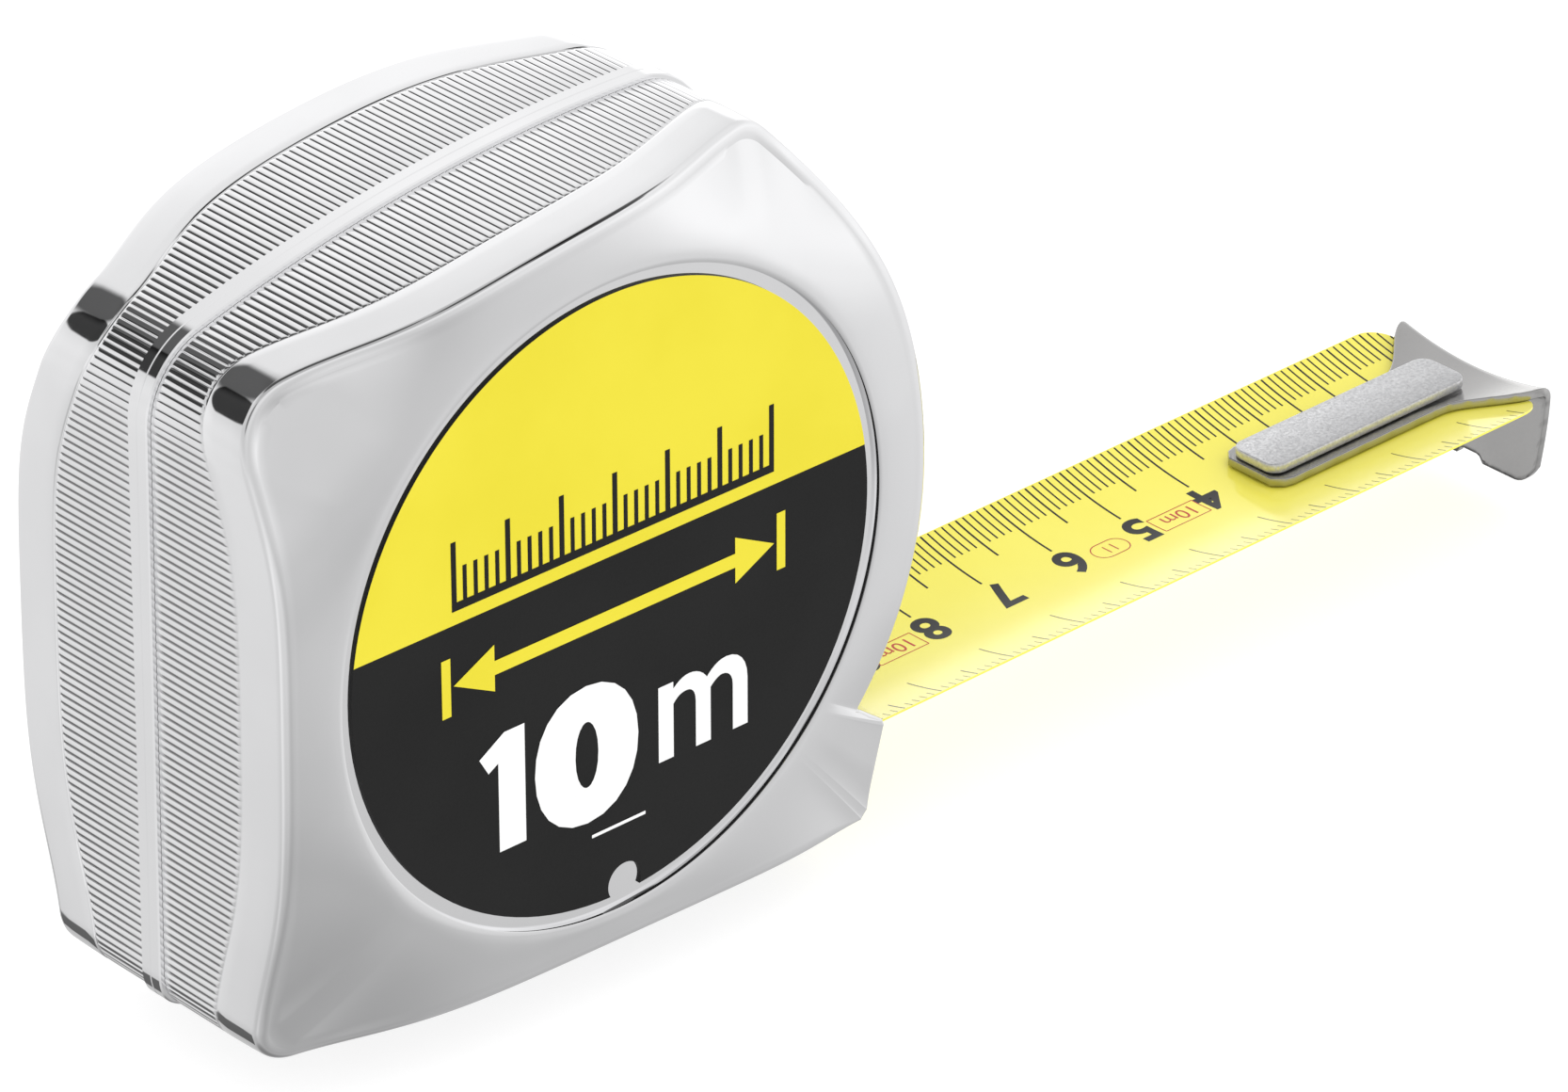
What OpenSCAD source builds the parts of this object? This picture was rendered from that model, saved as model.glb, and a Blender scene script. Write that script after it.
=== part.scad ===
// Spring-return tape measure, drawn with part of its blade pulled out.
// X runs forward out of the mouth, Y across the case and Z up from the flat base.

/* [Case] */
// Length of the case over the parting bead, back to front
case_len = 82; // [74:1:100]
// Height of the case from its base to the top of the crown
case_h = 79.7; // [74:0.5:96]
// Width of the case over its two flat faces
case_w = 40; // [38:1:48]
// Wall thickness of both half shells
wall = 2; // [1.6:0.1:2.5]
// Radius of the crowned top in side view
crown_r = 175; // [120:5:300]
// Distance of the crown's highest point ahead of the middle
crown_x = 19; // [10:1:22]
// Radius of the front above the middle in side view
front_r = 56; // [50:1:70]
// Distance of the mouth's upper lip behind the front of the case
lip_set = 8.23; // [7:0.01:9]
// Radius of the lower back corner
heel_r = 4.5; // [3:0.5:6]
// Radius of the upper back corner
nape_r = 9; // [6:0.5:11]
// Radius of the upper front corner
brow_r = 8; // [6:0.5:10]
// Radius of the ball that the two faces are rounded with
dome_r = 110; // [90:5:160]
// Radius inside which the faces stay flat
flat_r = 37; // [35.5:0.5:39]
// Height of the raised bead along the parting line
bead_h = 0.5; // [0.3:0.1:0.8]
// Width of the raised bead along the parting line
bead_w = 2.8; // [2:0.2:4]
// Distance of the reel's axis and the labels below mid-height
axis_drop = 1.85; // [0.5:0.05:3]

/* [Labels] */
// Radius of the round label
label_r = 32.3; // [28:0.1:33]
// Width of the ring between the label and the edge of its recess
label_ring = 1.3; // [0.8:0.1:2]
// Thickness of the label
label_t = 0.3; // [0.2:0.05:0.5]
// Depth of the recess that the label lies in
label_recess = 0.6; // [0.5:0.1:1]
// Radius of the pip that locates the label
pip_r = 1.8; // [1.2:0.1:2.5]

/* [Mouth] */
// Width of the mouth between the two cheeks
mouth_w = 27; // [26.6:0.2:30]
// Height of the upper lip of the mouth above the base
lip_z = 13.7; // [12.5:0.1:15]
// Height of the toe below the mouth
toe_h = 11.5; // [10:0.1:12]
// Distance of the toe's front edge behind the front of the case
toe_set = 4.2; // [4:0.1:6]
// Slope of the toe's front from top to bottom
toe_lean = 1.2; // [0.5:0.1:2]
// Height of the blade's centre line where it leaves the mouth
blade_z = 4; // [4:0.1:4.6]
// Angle at which the blade rises out of the mouth
blade_rise = 1.5; // [0:0.1:2]

/* [Blade] */
// Width of the steel blade along its curve
blade_w = 25; // [19:0.5:25.4]
// Thickness of the coated blade
blade_t = 0.2; // [0.14:0.02:0.3]
// Radius of the hollow curve across the blade
hollow_r = 40; // [30:1:60]
// Length of blade outside the mouth, from the mouth line to the hook's inner face
blade_out = 102.4; // [96:0.2:125]
// Length of the stiff end of the blade that the hook is riveted to
tip_len = 37; // [35:0.5:40]
// Radius of the corners at the blade's end
tip_corner_r = 4; // [2:0.5:6]
// Gap between the blade's end and the hook
tip_gap = 1.4; // [1.2:0.1:2]

/* [Hook] */
// Thickness of the hook's steel
hook_t = 1; // [0.8:0.1:1.2]
// Width of the hook's flange and wings
hook_w = 21; // [17:0.5:22]
// Depth of the flange below the blade's centre line
hook_drop = 10.2; // [7:0.1:11]
// Length of the hook's saddle behind the flange
saddle_len = 9; // [7:0.5:11]
// Width of the hook's tongue
tongue_w = 9; // [8:0.1:9.6]
// Length of the hook's tongue, measured from the flange
tongue_len = 35; // [31:0.5:36]
// Play of the hook along the blade
hook_play = 1; // [0.8:0.1:1.2]
// Length of the cover plate on the tongue
plate_len = 29.5; // [25:0.5:30]
// Width of the cover plate on the tongue
plate_w = 6.8; // [6:0.1:7]
// Thickness of the cover plate
plate_t = 1.1; // [0.8:0.1:1.2]
// Radius of the rivets' shanks
rivet_r = 1.3; // [1:0.1:1.5]
// Distance between the two rivets
rivet_step = 16; // [12:0.5:18]

/* [Reel] */
// Outer radius of the wound blade with the drawn length pulled out
coil_r = 32; // [29:0.5:32.5]
// Outer radius of the reel's drum
drum_r = 18.9; // [16:0.1:21]
// Thickness of the drum's wall
drum_t = 1; // [0.8:0.1:1.5]
// How far the reel's flanges stand out past the wound blade
flange_lip = 1.5; // [1:0.1:1.8]
// Thickness of the reel's flanges
flange_t = 1.2; // [1:0.1:1.3]
// Radius of the fixed arbor
arbor_r = 4; // [3.5:0.1:5]
// Number of turns drawn in the power spring
spring_turns = 11; // [8:1:14]
// Thickness of the power spring's strip
spring_t = 0.35; // [0.25:0.05:0.4]

/* [Lock] */
// Angle of the thumb button above the middle of the front when it is up
button_at = 12; // [11:0.5:13]
// Half of the angle that the button covers
button_half = 8; // [7:0.5:9]
// Width of the thumb button
button_w = 14; // [12:0.5:16]
// Thickness of the thumb button
button_t = 3; // [2.5:0.1:4]
// Angle that the button slides through
button_travel = 8.2; // [7:0.1:8.5]
// Distance that the brake shoe drops
brake_drop = 1.2; // [0.8:0.1:1.3]

/* [Belt clip] */
// Width of the belt clip
clip_w = 20; // [15:1:25]
// Thickness of the clip's spring steel
clip_t = 1; // [0.8:0.1:1.2]
// Inside gap between the clip's two legs
clip_gap = 7; // [6.5:0.5:9]
// Length of the clip's straight outer leg
clip_leg = 34; // [28:1:38]

/* [Fasteners and fits] */
// Radius of the screws' shanks
screw_r = 1.25; // [1:0.05:1.5]
// Radius of the screws' heads
screw_head_r = 2.4; // [2:0.1:2.6]
// Radius of the bosses that the screws pass through
boss_r = 3.2; // [3:0.1:3.4]
// Clearance between pieces that turn or slide on each other
run_fit = 0.06; // [0.03:0.01:0.1]
// Clearance between pieces that only pass each other
gap = 0.3; // [0.2:0.05:0.4]

/* [Hidden] */
$fn = 64;

eps = 0.01;
far = 200;
half_len = case_len / 2;
half_w = case_w / 2;
toe_x = half_len - toe_set;
mid_z = case_h / 2 - axis_drop;
axis_z = mid_z;
pip_x = 1.3;
pip_z = mid_z - label_r + pip_r * 0.6;

// Centres of the arcs that make the side view
front_c = [half_len - front_r, mid_z];
chin_r = (pow(mid_z - lip_z, 2) + lip_set * lip_set) / (2 * lip_set);
chin_c = [half_len - chin_r, mid_z];
crown_c = [crown_x, case_h - crown_r];
nape_c = [nape_r - half_len, crown_c[1] + sqrt(pow(crown_r - nape_r, 2) - pow(nape_r - half_len - crown_c[0], 2))];
brow_c = meet(front_c, front_r - brow_r, crown_c, crown_r - brow_r);
lip_a = asin((mid_z - lip_z) / chin_r);

// Blade
mouth_x = half_len - 3;
hollow_a = blade_w / hollow_r * 90 / PI;
tip_end = blade_out - tip_gap;
tip_start = tip_end - tip_len;
blade_back = -8;
lead_a = asin((axis_z - coil_r - blade_z - blade_back * sin(blade_rise)) / (mouth_x + blade_back));
tongue_w0 = tongue_w * tongue_w / (8 * hollow_r) + blade_t / 2 + 0.05;
saddle_r = hollow_r - blade_t / 2 - 0.1;
plate_w0 = tongue_w0 + hook_t + 0.15;
rivet_u = blade_out - 12;
rivet_head_h = 0.45;

guide_len = 9;
guide_t = 0.4;
rail_w = 3.4;
bumper_t = 0.5;
bumper_x = mouth_x - 2.8;
bumper_w = 18;

// Reel
coil_w = blade_w + 0.1;
web_y = coil_w / 2 + 0.4;
flange_r = coil_r + flange_lip;
vent_at = 11.5;
vent_r = 2.6;
washer_t = 0.7;
washer_r = 8;
washer_y = web_y + flange_t + 0.1;
socket_y = washer_y + washer_t + 0.1;
socket_depth = half_w - wall - 0.1;

// Lock
slot_half = 3;
stem_w = 5.2;
carriage_w = 11;
carriage_half = 7;
carriage_t = 2.4;
carriage_r = front_r - wall - bead_h - gap - carriage_t / 2;
button_r = front_r + 0.4;
shoe_len = 7;
shoe_h = 3;
pad_in = tongue_w / 2 + 1;
pad_out = 10;
pad_h = 2.2;
lead_back = mouth_x - 20;
lead_top = axis_z - coil_r - lead_back * tan(lead_a);
pad_z = max(blade_z + pad_out * pad_out / (2 * hollow_r) + blade_t / 2, lead_top + 0.4) + brake_drop - 0.1;
leaf_t = 0.4;
leaf_w = 8;
leaf_r = chin_r - wall - bead_h - 1.3;
shoe_top = pad_z + pad_h + shoe_h;
leaf_low = -asin((mid_z - shoe_top - 0.25) / leaf_r);
shoe_x = chin_c[0] + leaf_r * cos(leaf_low) - 3.1;
leaf_high = asin((carriage_r * sin(button_at - carriage_half) - 0.25) / leaf_r);

// Fasteners
screw_spots = [[8 - half_len, 6.8], [8.5 - half_len, mid_z + 28.5], [brow_c[0] + 4.6, brow_c[1] + 0.2]];
screw_seat = 7;
screw_len = 15;
head_h = 1.6;

// Point where two circles meet, on the side of larger X
function meet(c1, r1, c2, r2) =
    let (d = norm(c2 - c1), a = (r1 * r1 - r2 * r2 + d * d) / (2 * d))
    let (h = sqrt(r1 * r1 - a * a), u = (c2 - c1) / d)
    [c1[0] + a * u[0] - h * u[1], c1[1] + a * u[1] + h * u[0]];

function bearing(from, to) = atan2(to[1] - from[1], to[0] - from[0]);

function arc(c, r, a0, a1, n) =
    [for (i = [0 : n]) let (a = a0 + (a1 - a0) * i / n) [c[0] + r * cos(a), c[1] + r * sin(a)]];

// Side view of the case, drawn in by a distance d all round except at the base, which lies at z = base
function side_view(d, base) = concat(
    [[toe_x - toe_lean - 1 - d, base], [toe_x - toe_lean - d, 1 + base]],
    [[toe_x - d, toe_h - 0.8], [toe_x - 0.4 - d, toe_h]],
    arc(chin_c, chin_r - d, -lip_a, 0, 8),
    arc(front_c, front_r - d, 0, bearing(front_c, brow_c), 10),
    arc(brow_c, brow_r - d, bearing(front_c, brow_c), bearing(crown_c, brow_c), 8),
    arc(crown_c, crown_r - d, bearing(crown_c, brow_c), bearing(crown_c, nape_c), 12),
    arc(nape_c, nape_r - d, bearing(crown_c, nape_c), 180, 8),
    arc([heel_r - half_len + d, base + heel_r], heel_r, 180, 270, 6)
);

// Straight sweep of a side view from y0 to y1
module sweep(y0, y1) {
    translate([0, y1, 0]) rotate([90, 0, 0]) linear_extrude(height = y1 - y0) children();
}

// Round bar across the case at a place in the side view
module bar(spot, r, y0, y1) {
    translate([spot[0], y1, spot[1]]) rotate([90, 0, 0]) cylinder(r = r, h = y1 - y0);
}

// Ring about a line across the case, between two radii and two angles above the middle
module ring_part(c, r0, r1, a0, a1, w) {
    translate([c[0], 0, c[1]]) rotate([90, 0, 0]) rotate([0, 0, a0])
        rotate_extrude(angle = a1 - a0) translate([r0, -w / 2]) square([r1 - r0, w]);
}

// Puts a shape drawn along the blade where the blade leaves the mouth
module on_blade() {
    translate([mouth_x, 0, blade_z]) rotate([0, -blade_rise, 0]) children();
}

// Sheet with the blade's hollow curve, as long as u1 - u0 and w wide
module hollow_sheet(u0, u1, r, t, w) {
    a = w / r * 90 / PI;
    translate([u0, 0, 0]) rotate([90, 0, 90]) linear_extrude(height = u1 - u0)
        intersection() {
            translate([0, hollow_r]) difference() {
                circle(r = r + t / 2, $fn = 96);
                circle(r = r - t / 2, $fn = 96);
            }
            polygon([[0, hollow_r], [-2 * r * sin(a), hollow_r - 2 * r * cos(a)],
                     [2 * r * sin(a), hollow_r - 2 * r * cos(a)]]);
        }
}

// Solid body of one half, drawn in by d; side is -1 for the right half and 1 for the left
module half_body(side, d) {
    dome_y = sqrt(dome_r * dome_r - flat_r * flat_r) - half_w;
    intersection() {
        sweep(min(0, side * (half_w - d)), max(0, side * (half_w - d))) polygon(side_view(bead_h + d, d));
        translate([0, -side * dome_y, mid_z]) rotate([90, 0, 0]) sphere(r = dome_r - d, $fn = 128);
    }
}

module mouth_cut() {
    translate([mouth_x - 14, -mouth_w / 2, wall]) cube([30, mouth_w, lip_z - wall - 1]);
}

module button_slot() {
    ring_part(front_c, front_r - wall - bead_h - 2, front_r + 2,
              button_at - slot_half - button_travel - 0.6, button_at + slot_half + 0.6, stem_w + 2 * gap);
}

// Half shell with its bead, bosses and arbor socket
module half_shell(side) {
    difference() {
        union() {
            difference() {
                union() {
                    half_body(side, 0);
                    sweep(min(0, side * bead_w / 2), max(0, side * bead_w / 2)) polygon(side_view(0, 0));
                }
                half_body(side, wall);
            }
            intersection() {
                half_body(side, wall / 2);
                union() {
                    for (s = screw_spots) bar(s, boss_r, min(0, side * far), max(0, side * far));
                    bar([0, axis_z], arbor_r + 3, min(side * socket_y, side * far), max(side * socket_y, side * far));
                }
            }
        }
        mouth_cut();
        button_slot();
        bar([0, axis_z], arbor_r + run_fit / 2, min(side * 4, side * socket_depth), max(side * 4, side * socket_depth));
        bar([0, mid_z], label_r + label_ring, min(side * (half_w - label_recess), side * far),
            max(side * (half_w - label_recess), side * far));
    }
}

module case_right() {
    color("silver") union() {
        difference() {
            half_shell(-1);
            for (s = screw_spots) bar(s, screw_r + run_fit, -screw_len + screw_seat - 0.5, eps);
        }
        bar([pip_x, pip_z], pip_r, label_recess - half_w - label_t, label_recess - half_w + eps);
    }
}

module case_left() {
    color("silver") difference() {
        half_shell(1);
        for (s = screw_spots) bar(s, screw_r + gap, -eps, far);
        for (s = screw_spots) bar(s, screw_head_r + gap, screw_seat, far);
        bar([0, axis_z], screw_r + gap, 0, far);
    }
}

module label_disc(side) {
    y0 = side * (half_w - label_recess);
    y1 = side * (half_w - label_recess + label_t);
    difference() {
        bar([0, mid_z], label_r, min(y0, y1), max(y0, y1));
        if (side < 0) bar([pip_x, pip_z], pip_r + gap, -far, far);
        if (side > 0) bar([0, axis_z], screw_r + gap, -far, far);
    }
}

module label_right() {
    color("gold") label_disc(-1);
}

module label_left() {
    color("gold") label_disc(1);
}

// Screw lying along Y with its head towards the left face
module screw(spot, seat, length) {
    difference() {
        union() {
            bar(spot, screw_r, seat - length, seat + eps);
            bar(spot, screw_head_r, seat, seat + head_h);
        }
        for (t = [0, 90])
            translate([spot[0], seat + head_h, spot[1]]) rotate([0, t, 0])
                cube([screw_head_r * 1.3, 1.6, 0.7], center = true);
    }
}

module case_screws() {
    color("dimgray") for (s = screw_spots) screw(s, screw_seat, screw_len);
}

module arbor() {
    color("gray") difference() {
        bar([0, axis_z], arbor_r, -socket_depth, socket_depth - 0.05);
        translate([0, -0.1, axis_z]) cube([arbor_r * 2 + 1, web_y * 2 - 1, spring_t + 0.5], center = true);
        bar([0, axis_z], screw_r + run_fit, web_y, far);
    }
}

module reel_washers() {
    color("white") for (side = [-1, 1])
        difference() {
            bar([0, axis_z], washer_r, min(side * washer_y, side * (washer_y + washer_t)),
                max(side * washer_y, side * (washer_y + washer_t)));
            bar([0, axis_z], arbor_r + 0.1, -far, far);
        }
}

module mouth_guide() {
    rail_y = mouth_w / 2 - gap - rail_w;
    front_x = bumper_x - gap;
    color("black") union() {
        translate([front_x - guide_len, -mouth_w / 2 + gap, wall]) cube([guide_len, mouth_w - 2 * gap, guide_t]);
        for (side = [-1, 1])
            translate([front_x - guide_len / 2, side * (rail_y + rail_w / 2) - rail_w / 2, wall])
                cube([guide_len / 2, rail_w, blade_z - wall]);
    }
}

module hook_bumper() {
    color("black") translate([bumper_x, -bumper_w / 2, wall]) difference() {
        cube([mouth_x + 0.2 - bumper_x, bumper_w, bumper_t]);
        translate([1, bumper_w / 4, -1]) cube([0.8, bumper_w / 2, 3]);
    }
}

module belt_clip() {
    y0 = half_w - label_recess + label_t;
    mid_r = clip_gap / 2 + clip_t;
    top_z = mid_z + 18;
    color("silver") union() {
        difference() {
            translate([-clip_w / 2, y0, mid_z - 6]) cube([clip_w, clip_t, top_z - mid_z + 6]);
            bar([0, axis_z], screw_r + gap, 0, far);
        }
        translate([-clip_w / 2, y0 + mid_r, top_z]) rotate([90, 0, 90]) clip_bend(mid_r - clip_t, mid_r, clip_w);
        translate([-clip_w / 2, y0 + clip_gap + clip_t, top_z - clip_leg]) cube([clip_w, clip_t, clip_leg]);
        translate([-clip_w / 2, y0 + clip_gap + clip_t, top_z - clip_leg]) rotate([-30, 0, 0])
            translate([0, 0, -5]) cube([clip_w, clip_t, 5 + clip_t / 2]);
    }
}

// Half ring from the inner leg over to the outer leg of the clip
module clip_bend(r0, r1, w) {
    rotate_extrude(angle = 180) translate([r0, 0]) square([r1 - r0, w]);
}

module clip_screw() {
    color("dimgray") screw([0, axis_z], half_w - label_recess + label_t + clip_t, 7.5);
}

module reel_flange(y0) {
    difference() {
        bar([0, axis_z], flange_r, y0, y0 + flange_t);
        bar([0, axis_z], arbor_r + run_fit, y0 - 1, y0 + flange_t + 1);
    }
}

module reel() {
    color("ivory") union() {
        reel_flange(web_y);
        difference() {
            bar([0, axis_z], drum_r, -web_y, web_y + eps);
            bar([0, axis_z], drum_r - drum_t, -far, far);
        }
    }
}

module reel_cover() {
    color("ivory") difference() {
        reel_flange(-web_y - flange_t);
        for (a = [0 : 60 : 300])
            bar([vent_at * cos(a), axis_z + vent_at * sin(a)], vent_r, -web_y - flange_t - 1, -web_y + 1);
    }
}

module blade_coil() {
    color("yellow") difference() {
        bar([0, axis_z], coil_r, -coil_w / 2, coil_w / 2);
        bar([0, axis_z], drum_r + 0.1, -coil_w, coil_w);
    }
}

module power_spring() {
    steps = spring_turns * 20;
    r_in = arbor_r + 1;
    r_out = drum_r - drum_t - 0.5;
    function spiral(off) = [for (i = [0 : steps]) let (r = r_in + (r_out - r_in) * i / steps + off)
        [r * cos(i * 18), r * sin(i * 18)]];
    outer = spiral(spring_t);
    inner = spiral(0);
    color("slategray") union() {
        translate([0, web_y - 1.5, axis_z]) rotate([90, 0, 0]) linear_extrude(height = 2 * web_y - 3)
            polygon(concat(outer, [for (i = [steps : -1 : 0]) inner[i]]));
        translate([1, 2 - web_y, axis_z]) cube([r_in - 0.8, 2 * web_y - 4, spring_t]);
    }
}

module lock_button() {
    a0 = button_at - button_half;
    color("black") union() {
        ring_part(front_c, button_r, button_r + button_t * 0.7, a0, button_at + button_half, button_w);
        ring_part(front_c, carriage_r + carriage_t / 2, button_r + 1, button_at - slot_half, button_at + slot_half, stem_w);
        for (i = [0 : 4])
            ring_part(front_c, button_r + 1, button_r + button_t, a0 + 1 + i * (button_half / 2.4),
                      a0 + 2 + i * (button_half / 2.4), button_w - 2);
    }
}

module lock_carriage() {
    r1 = carriage_r + carriage_t / 2;
    color("dimgray") difference() {
        ring_part(front_c, carriage_r - carriage_t / 2, r1, button_at - carriage_half, button_at + carriage_half, carriage_w);
        lock_rivet_bars(0.8 + run_fit);
    }
}

// Bars from the carriage into the button's stem
module lock_rivet_bars(r) {
    for (a = [-1.6, 1.6])
        translate([front_c[0], 0, front_c[1]]) rotate([0, -button_at - a, 0])
            translate([carriage_r - carriage_t / 2, 0, 0]) rotate([0, 90, 0])
                cylinder(r = r, h = carriage_t - 0.02, $fn = 24);
}

module lock_rivets() {
    color("silver") lock_rivet_bars(0.8);
}

module lock_spring() {
    color("silver") ring_part(chin_c, leaf_r - leaf_t / 2, leaf_r + leaf_t / 2, leaf_low, leaf_high, leaf_w);
}

module brake_shoe() {
    color("dimgray") difference() {
        translate([shoe_x - shoe_len / 2, -pad_out, pad_z + pad_h]) cube([shoe_len, 2 * pad_out, shoe_h]);
        for (side = [-1, 1])
            translate([shoe_x - shoe_len, side * (pad_out - 2) - 1, shoe_top - 1]) cube([shoe_len * 2, 2, 2]);
    }
}

module brake_pads() {
    color("black") for (side = [-1, 1])
        translate([shoe_x - shoe_len / 2, side > 0 ? pad_in : -pad_out, pad_z])
            cube([shoe_len, pad_out - pad_in, pad_h]);
}

// Flat stretch of blade from the underside of the coil to the mouth
module blade_lead() {
    color("yellow") translate([0, -blade_w / 2, axis_z - coil_r - blade_t]) rotate([0, lead_a, 0])
        cube([mouth_x + blade_back - 1.5, blade_w, blade_t]);
}

module blade() {
    color("yellow") on_blade() hollow_sheet(blade_back, tip_start, hollow_r, blade_t, blade_w);
}

module blade_tip() {
    color("yellow") on_blade() difference() {
        intersection() {
            hollow_sheet(tip_start, tip_end, hollow_r, blade_t, blade_w);
            translate([0, 0, -5]) linear_extrude(height = 15) union() {
                translate([tip_start - 1, -blade_w]) square([tip_len + 1 - tip_corner_r, 2 * blade_w]);
                translate([tip_start, tip_corner_r - tip_half()])
                    square([tip_len, 2 * (tip_half() - tip_corner_r)]);
                for (side = [-1, 1])
                    translate([tip_end - tip_corner_r, side * (tip_half() - tip_corner_r)]) circle(r = tip_corner_r);
            }
        }
        rivet_bars(rivet_r + run_fit, -5, 5);
    }
}

function tip_half() = hollow_r * sin(hollow_a);

// Upright bars at the two rivet places
module rivet_bars(r, w0, w1) {
    for (i = [0, 1]) translate([rivet_u - i * rivet_step, 0, w0]) cylinder(r = r, h = w1 - w0, $fn = 32);
}

module hook_plate() {
    u1 = blade_out - 4.2;
    r = 2.6;
    color("darkgray") on_blade() difference() {
        translate([0, 0, plate_w0]) linear_extrude(height = plate_t) union() {
            translate([u1 - plate_len + r, -plate_w / 2]) square([plate_len - 2 * r, plate_w]);
            translate([u1 - plate_len, r - plate_w / 2]) square([plate_len, plate_w - 2 * r]);
            for (u = [u1 - plate_len + r, u1 - r], side = [-1, 1])
                translate([u, side * (plate_w / 2 - r)]) circle(r = r, $fn = 32);
        }
        rivet_bars(rivet_r + run_fit, plate_w0 - 1, plate_w0 + plate_t / 2);
    }
}

module hook_rivets() {
    color("silver") on_blade() union() {
        rivet_bars(rivet_r, -blade_t / 2 - rivet_head_h, plate_w0 + plate_t / 2 - 0.05);
        rivet_bars(rivet_r + 0.9, -blade_t / 2 - rivet_head_h, -blade_t / 2);
    }
}

module end_hook() {
    color("silver") on_blade() union() {
        difference() {
            union() {
                translate([blade_out - tongue_len, -tongue_w / 2, tongue_w0])
                    cube([tongue_len - saddle_len + 2, tongue_w, hook_t]);
                hook_saddle();
            }
            for (i = [0, 1]) rivet_slot(rivet_u - i * rivet_step);
        }
        hook_flange();
    }
}

// Slot that lets the hook move on a rivet by its play
module rivet_slot(u) {
    r = rivet_r + run_fit;
    translate([u, 0, -5]) linear_extrude(height = 15) union() {
        translate([0, -r]) square([hook_play + run_fit, 2 * r]);
        circle(r = r, $fn = 32);
        translate([hook_play + run_fit, 0]) circle(r = r, $fn = 32);
    }
}

// Curved part of the hook that sits in the blade's hollow
module hook_saddle() {
    w = hook_w;
    intersection() {
        hollow_sheet(blade_out - saddle_len - 4, blade_out + hook_t, saddle_r - hook_t / 2, hook_t, w);
        translate([0, 0, -5]) linear_extrude(height = 15) union() {
            translate([blade_out - saddle_len - 4, -tongue_w / 2]) square([saddle_len + 4 + hook_t, tongue_w]);
            polygon([[blade_out - saddle_len, -tongue_w / 2], [blade_out - saddle_len + 5, -w / 2 - 1],
                     [blade_out + hook_t, -w / 2 - 1], [blade_out + hook_t, w / 2 + 1],
                     [blade_out - saddle_len + 5, w / 2 + 1], [blade_out - saddle_len, tongue_w / 2]]);
        }
    }
}

// Bent-down flange that catches on an edge
module hook_flange() {
    top = saddle_r - sqrt(saddle_r * saddle_r - hook_w * hook_w / 4) + hook_t;
    notch_w = 3.4;
    relief_w = -blade_t / 2 - rivet_head_h - 0.4;
    difference() {
        translate([blade_out, 0, 0]) rotate([90, 0, 90]) linear_extrude(height = hook_t) flange_face(top, notch_w);
        translate([blade_out - 1, -hook_w, relief_w]) cube([1.2, 2 * hook_w, top + 1 - relief_w]);
    }
}

module flange_face(top, notch_w) {
    difference() {
        polygon([[-hook_w / 2 + 2.6, -hook_drop], [hook_w / 2 - 2.6, -hook_drop],
                 [hook_w / 2 - 1, -hook_drop + 1.8], [hook_w / 2, top], [-hook_w / 2, top],
                 [-hook_w / 2 + 1, -hook_drop + 1.8]]);
        translate([0, hollow_r]) circle(r = saddle_r - hook_t, $fn = 96);
        translate([-notch_w / 2, -hook_drop - 1]) square([notch_w, 1.9]);
    }
}

case_right();
case_left();
label_right();
label_left();
case_screws();
arbor();
reel_washers();
mouth_guide();
hook_bumper();
belt_clip();
clip_screw();
reel();
reel_cover();
blade_coil();
power_spring();
lock_button();
lock_carriage();
lock_rivets();
lock_spring();
brake_shoe();
brake_pads();
blade_lead();
blade();
blade_tip();
hook_plate();
hook_rivets();
end_hook();
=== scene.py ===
"""Looks of a spring-return tape measure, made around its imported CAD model."""

import logging
import math
from collections.abc import Callable
from dataclasses import dataclass, field
from enum import Enum

import bmesh
import bpy
import numpy as np
from mathutils import Matrix, Vector


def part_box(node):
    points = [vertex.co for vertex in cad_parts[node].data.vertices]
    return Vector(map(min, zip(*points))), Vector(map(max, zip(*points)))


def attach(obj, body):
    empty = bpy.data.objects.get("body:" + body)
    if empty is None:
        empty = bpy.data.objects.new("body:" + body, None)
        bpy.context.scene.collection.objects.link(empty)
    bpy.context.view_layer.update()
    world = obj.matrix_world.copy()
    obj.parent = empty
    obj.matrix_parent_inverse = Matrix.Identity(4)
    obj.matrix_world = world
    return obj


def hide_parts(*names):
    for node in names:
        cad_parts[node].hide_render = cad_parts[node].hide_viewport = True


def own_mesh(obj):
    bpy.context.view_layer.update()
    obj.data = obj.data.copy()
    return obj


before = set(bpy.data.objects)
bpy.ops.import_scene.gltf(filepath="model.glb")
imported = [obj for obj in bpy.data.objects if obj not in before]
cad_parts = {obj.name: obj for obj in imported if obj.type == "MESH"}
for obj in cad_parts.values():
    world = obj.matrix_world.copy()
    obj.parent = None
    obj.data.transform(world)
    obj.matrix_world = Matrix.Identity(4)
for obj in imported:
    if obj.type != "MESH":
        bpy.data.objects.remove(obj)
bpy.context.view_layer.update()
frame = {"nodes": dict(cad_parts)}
log = logging.getLogger("tape_measure")

MM = 0.001
RGB = tuple[float, float, float]
Lay = Callable[[np.ndarray], np.ndarray]


class Side(Enum):
    """The two halves of the case: the right one faces -Y."""

    RIGHT = -1
    LEFT = 1


def bell(distance: np.ndarray, width: float) -> np.ndarray:
    """Bell curve that is 1 at distance 0 and fades over a width."""
    return np.exp(-((distance / width) ** 2))


def ramp(values: np.ndarray, low: float, high: float) -> np.ndarray:
    """Smooth step from 0 at low to 1 at high."""
    t = np.clip((values - low) / (high - low), 0.0, 1.0)
    return t * t * (3.0 - 2.0 * t)


# ---------------------------------------------------------------- mesh helpers


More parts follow.
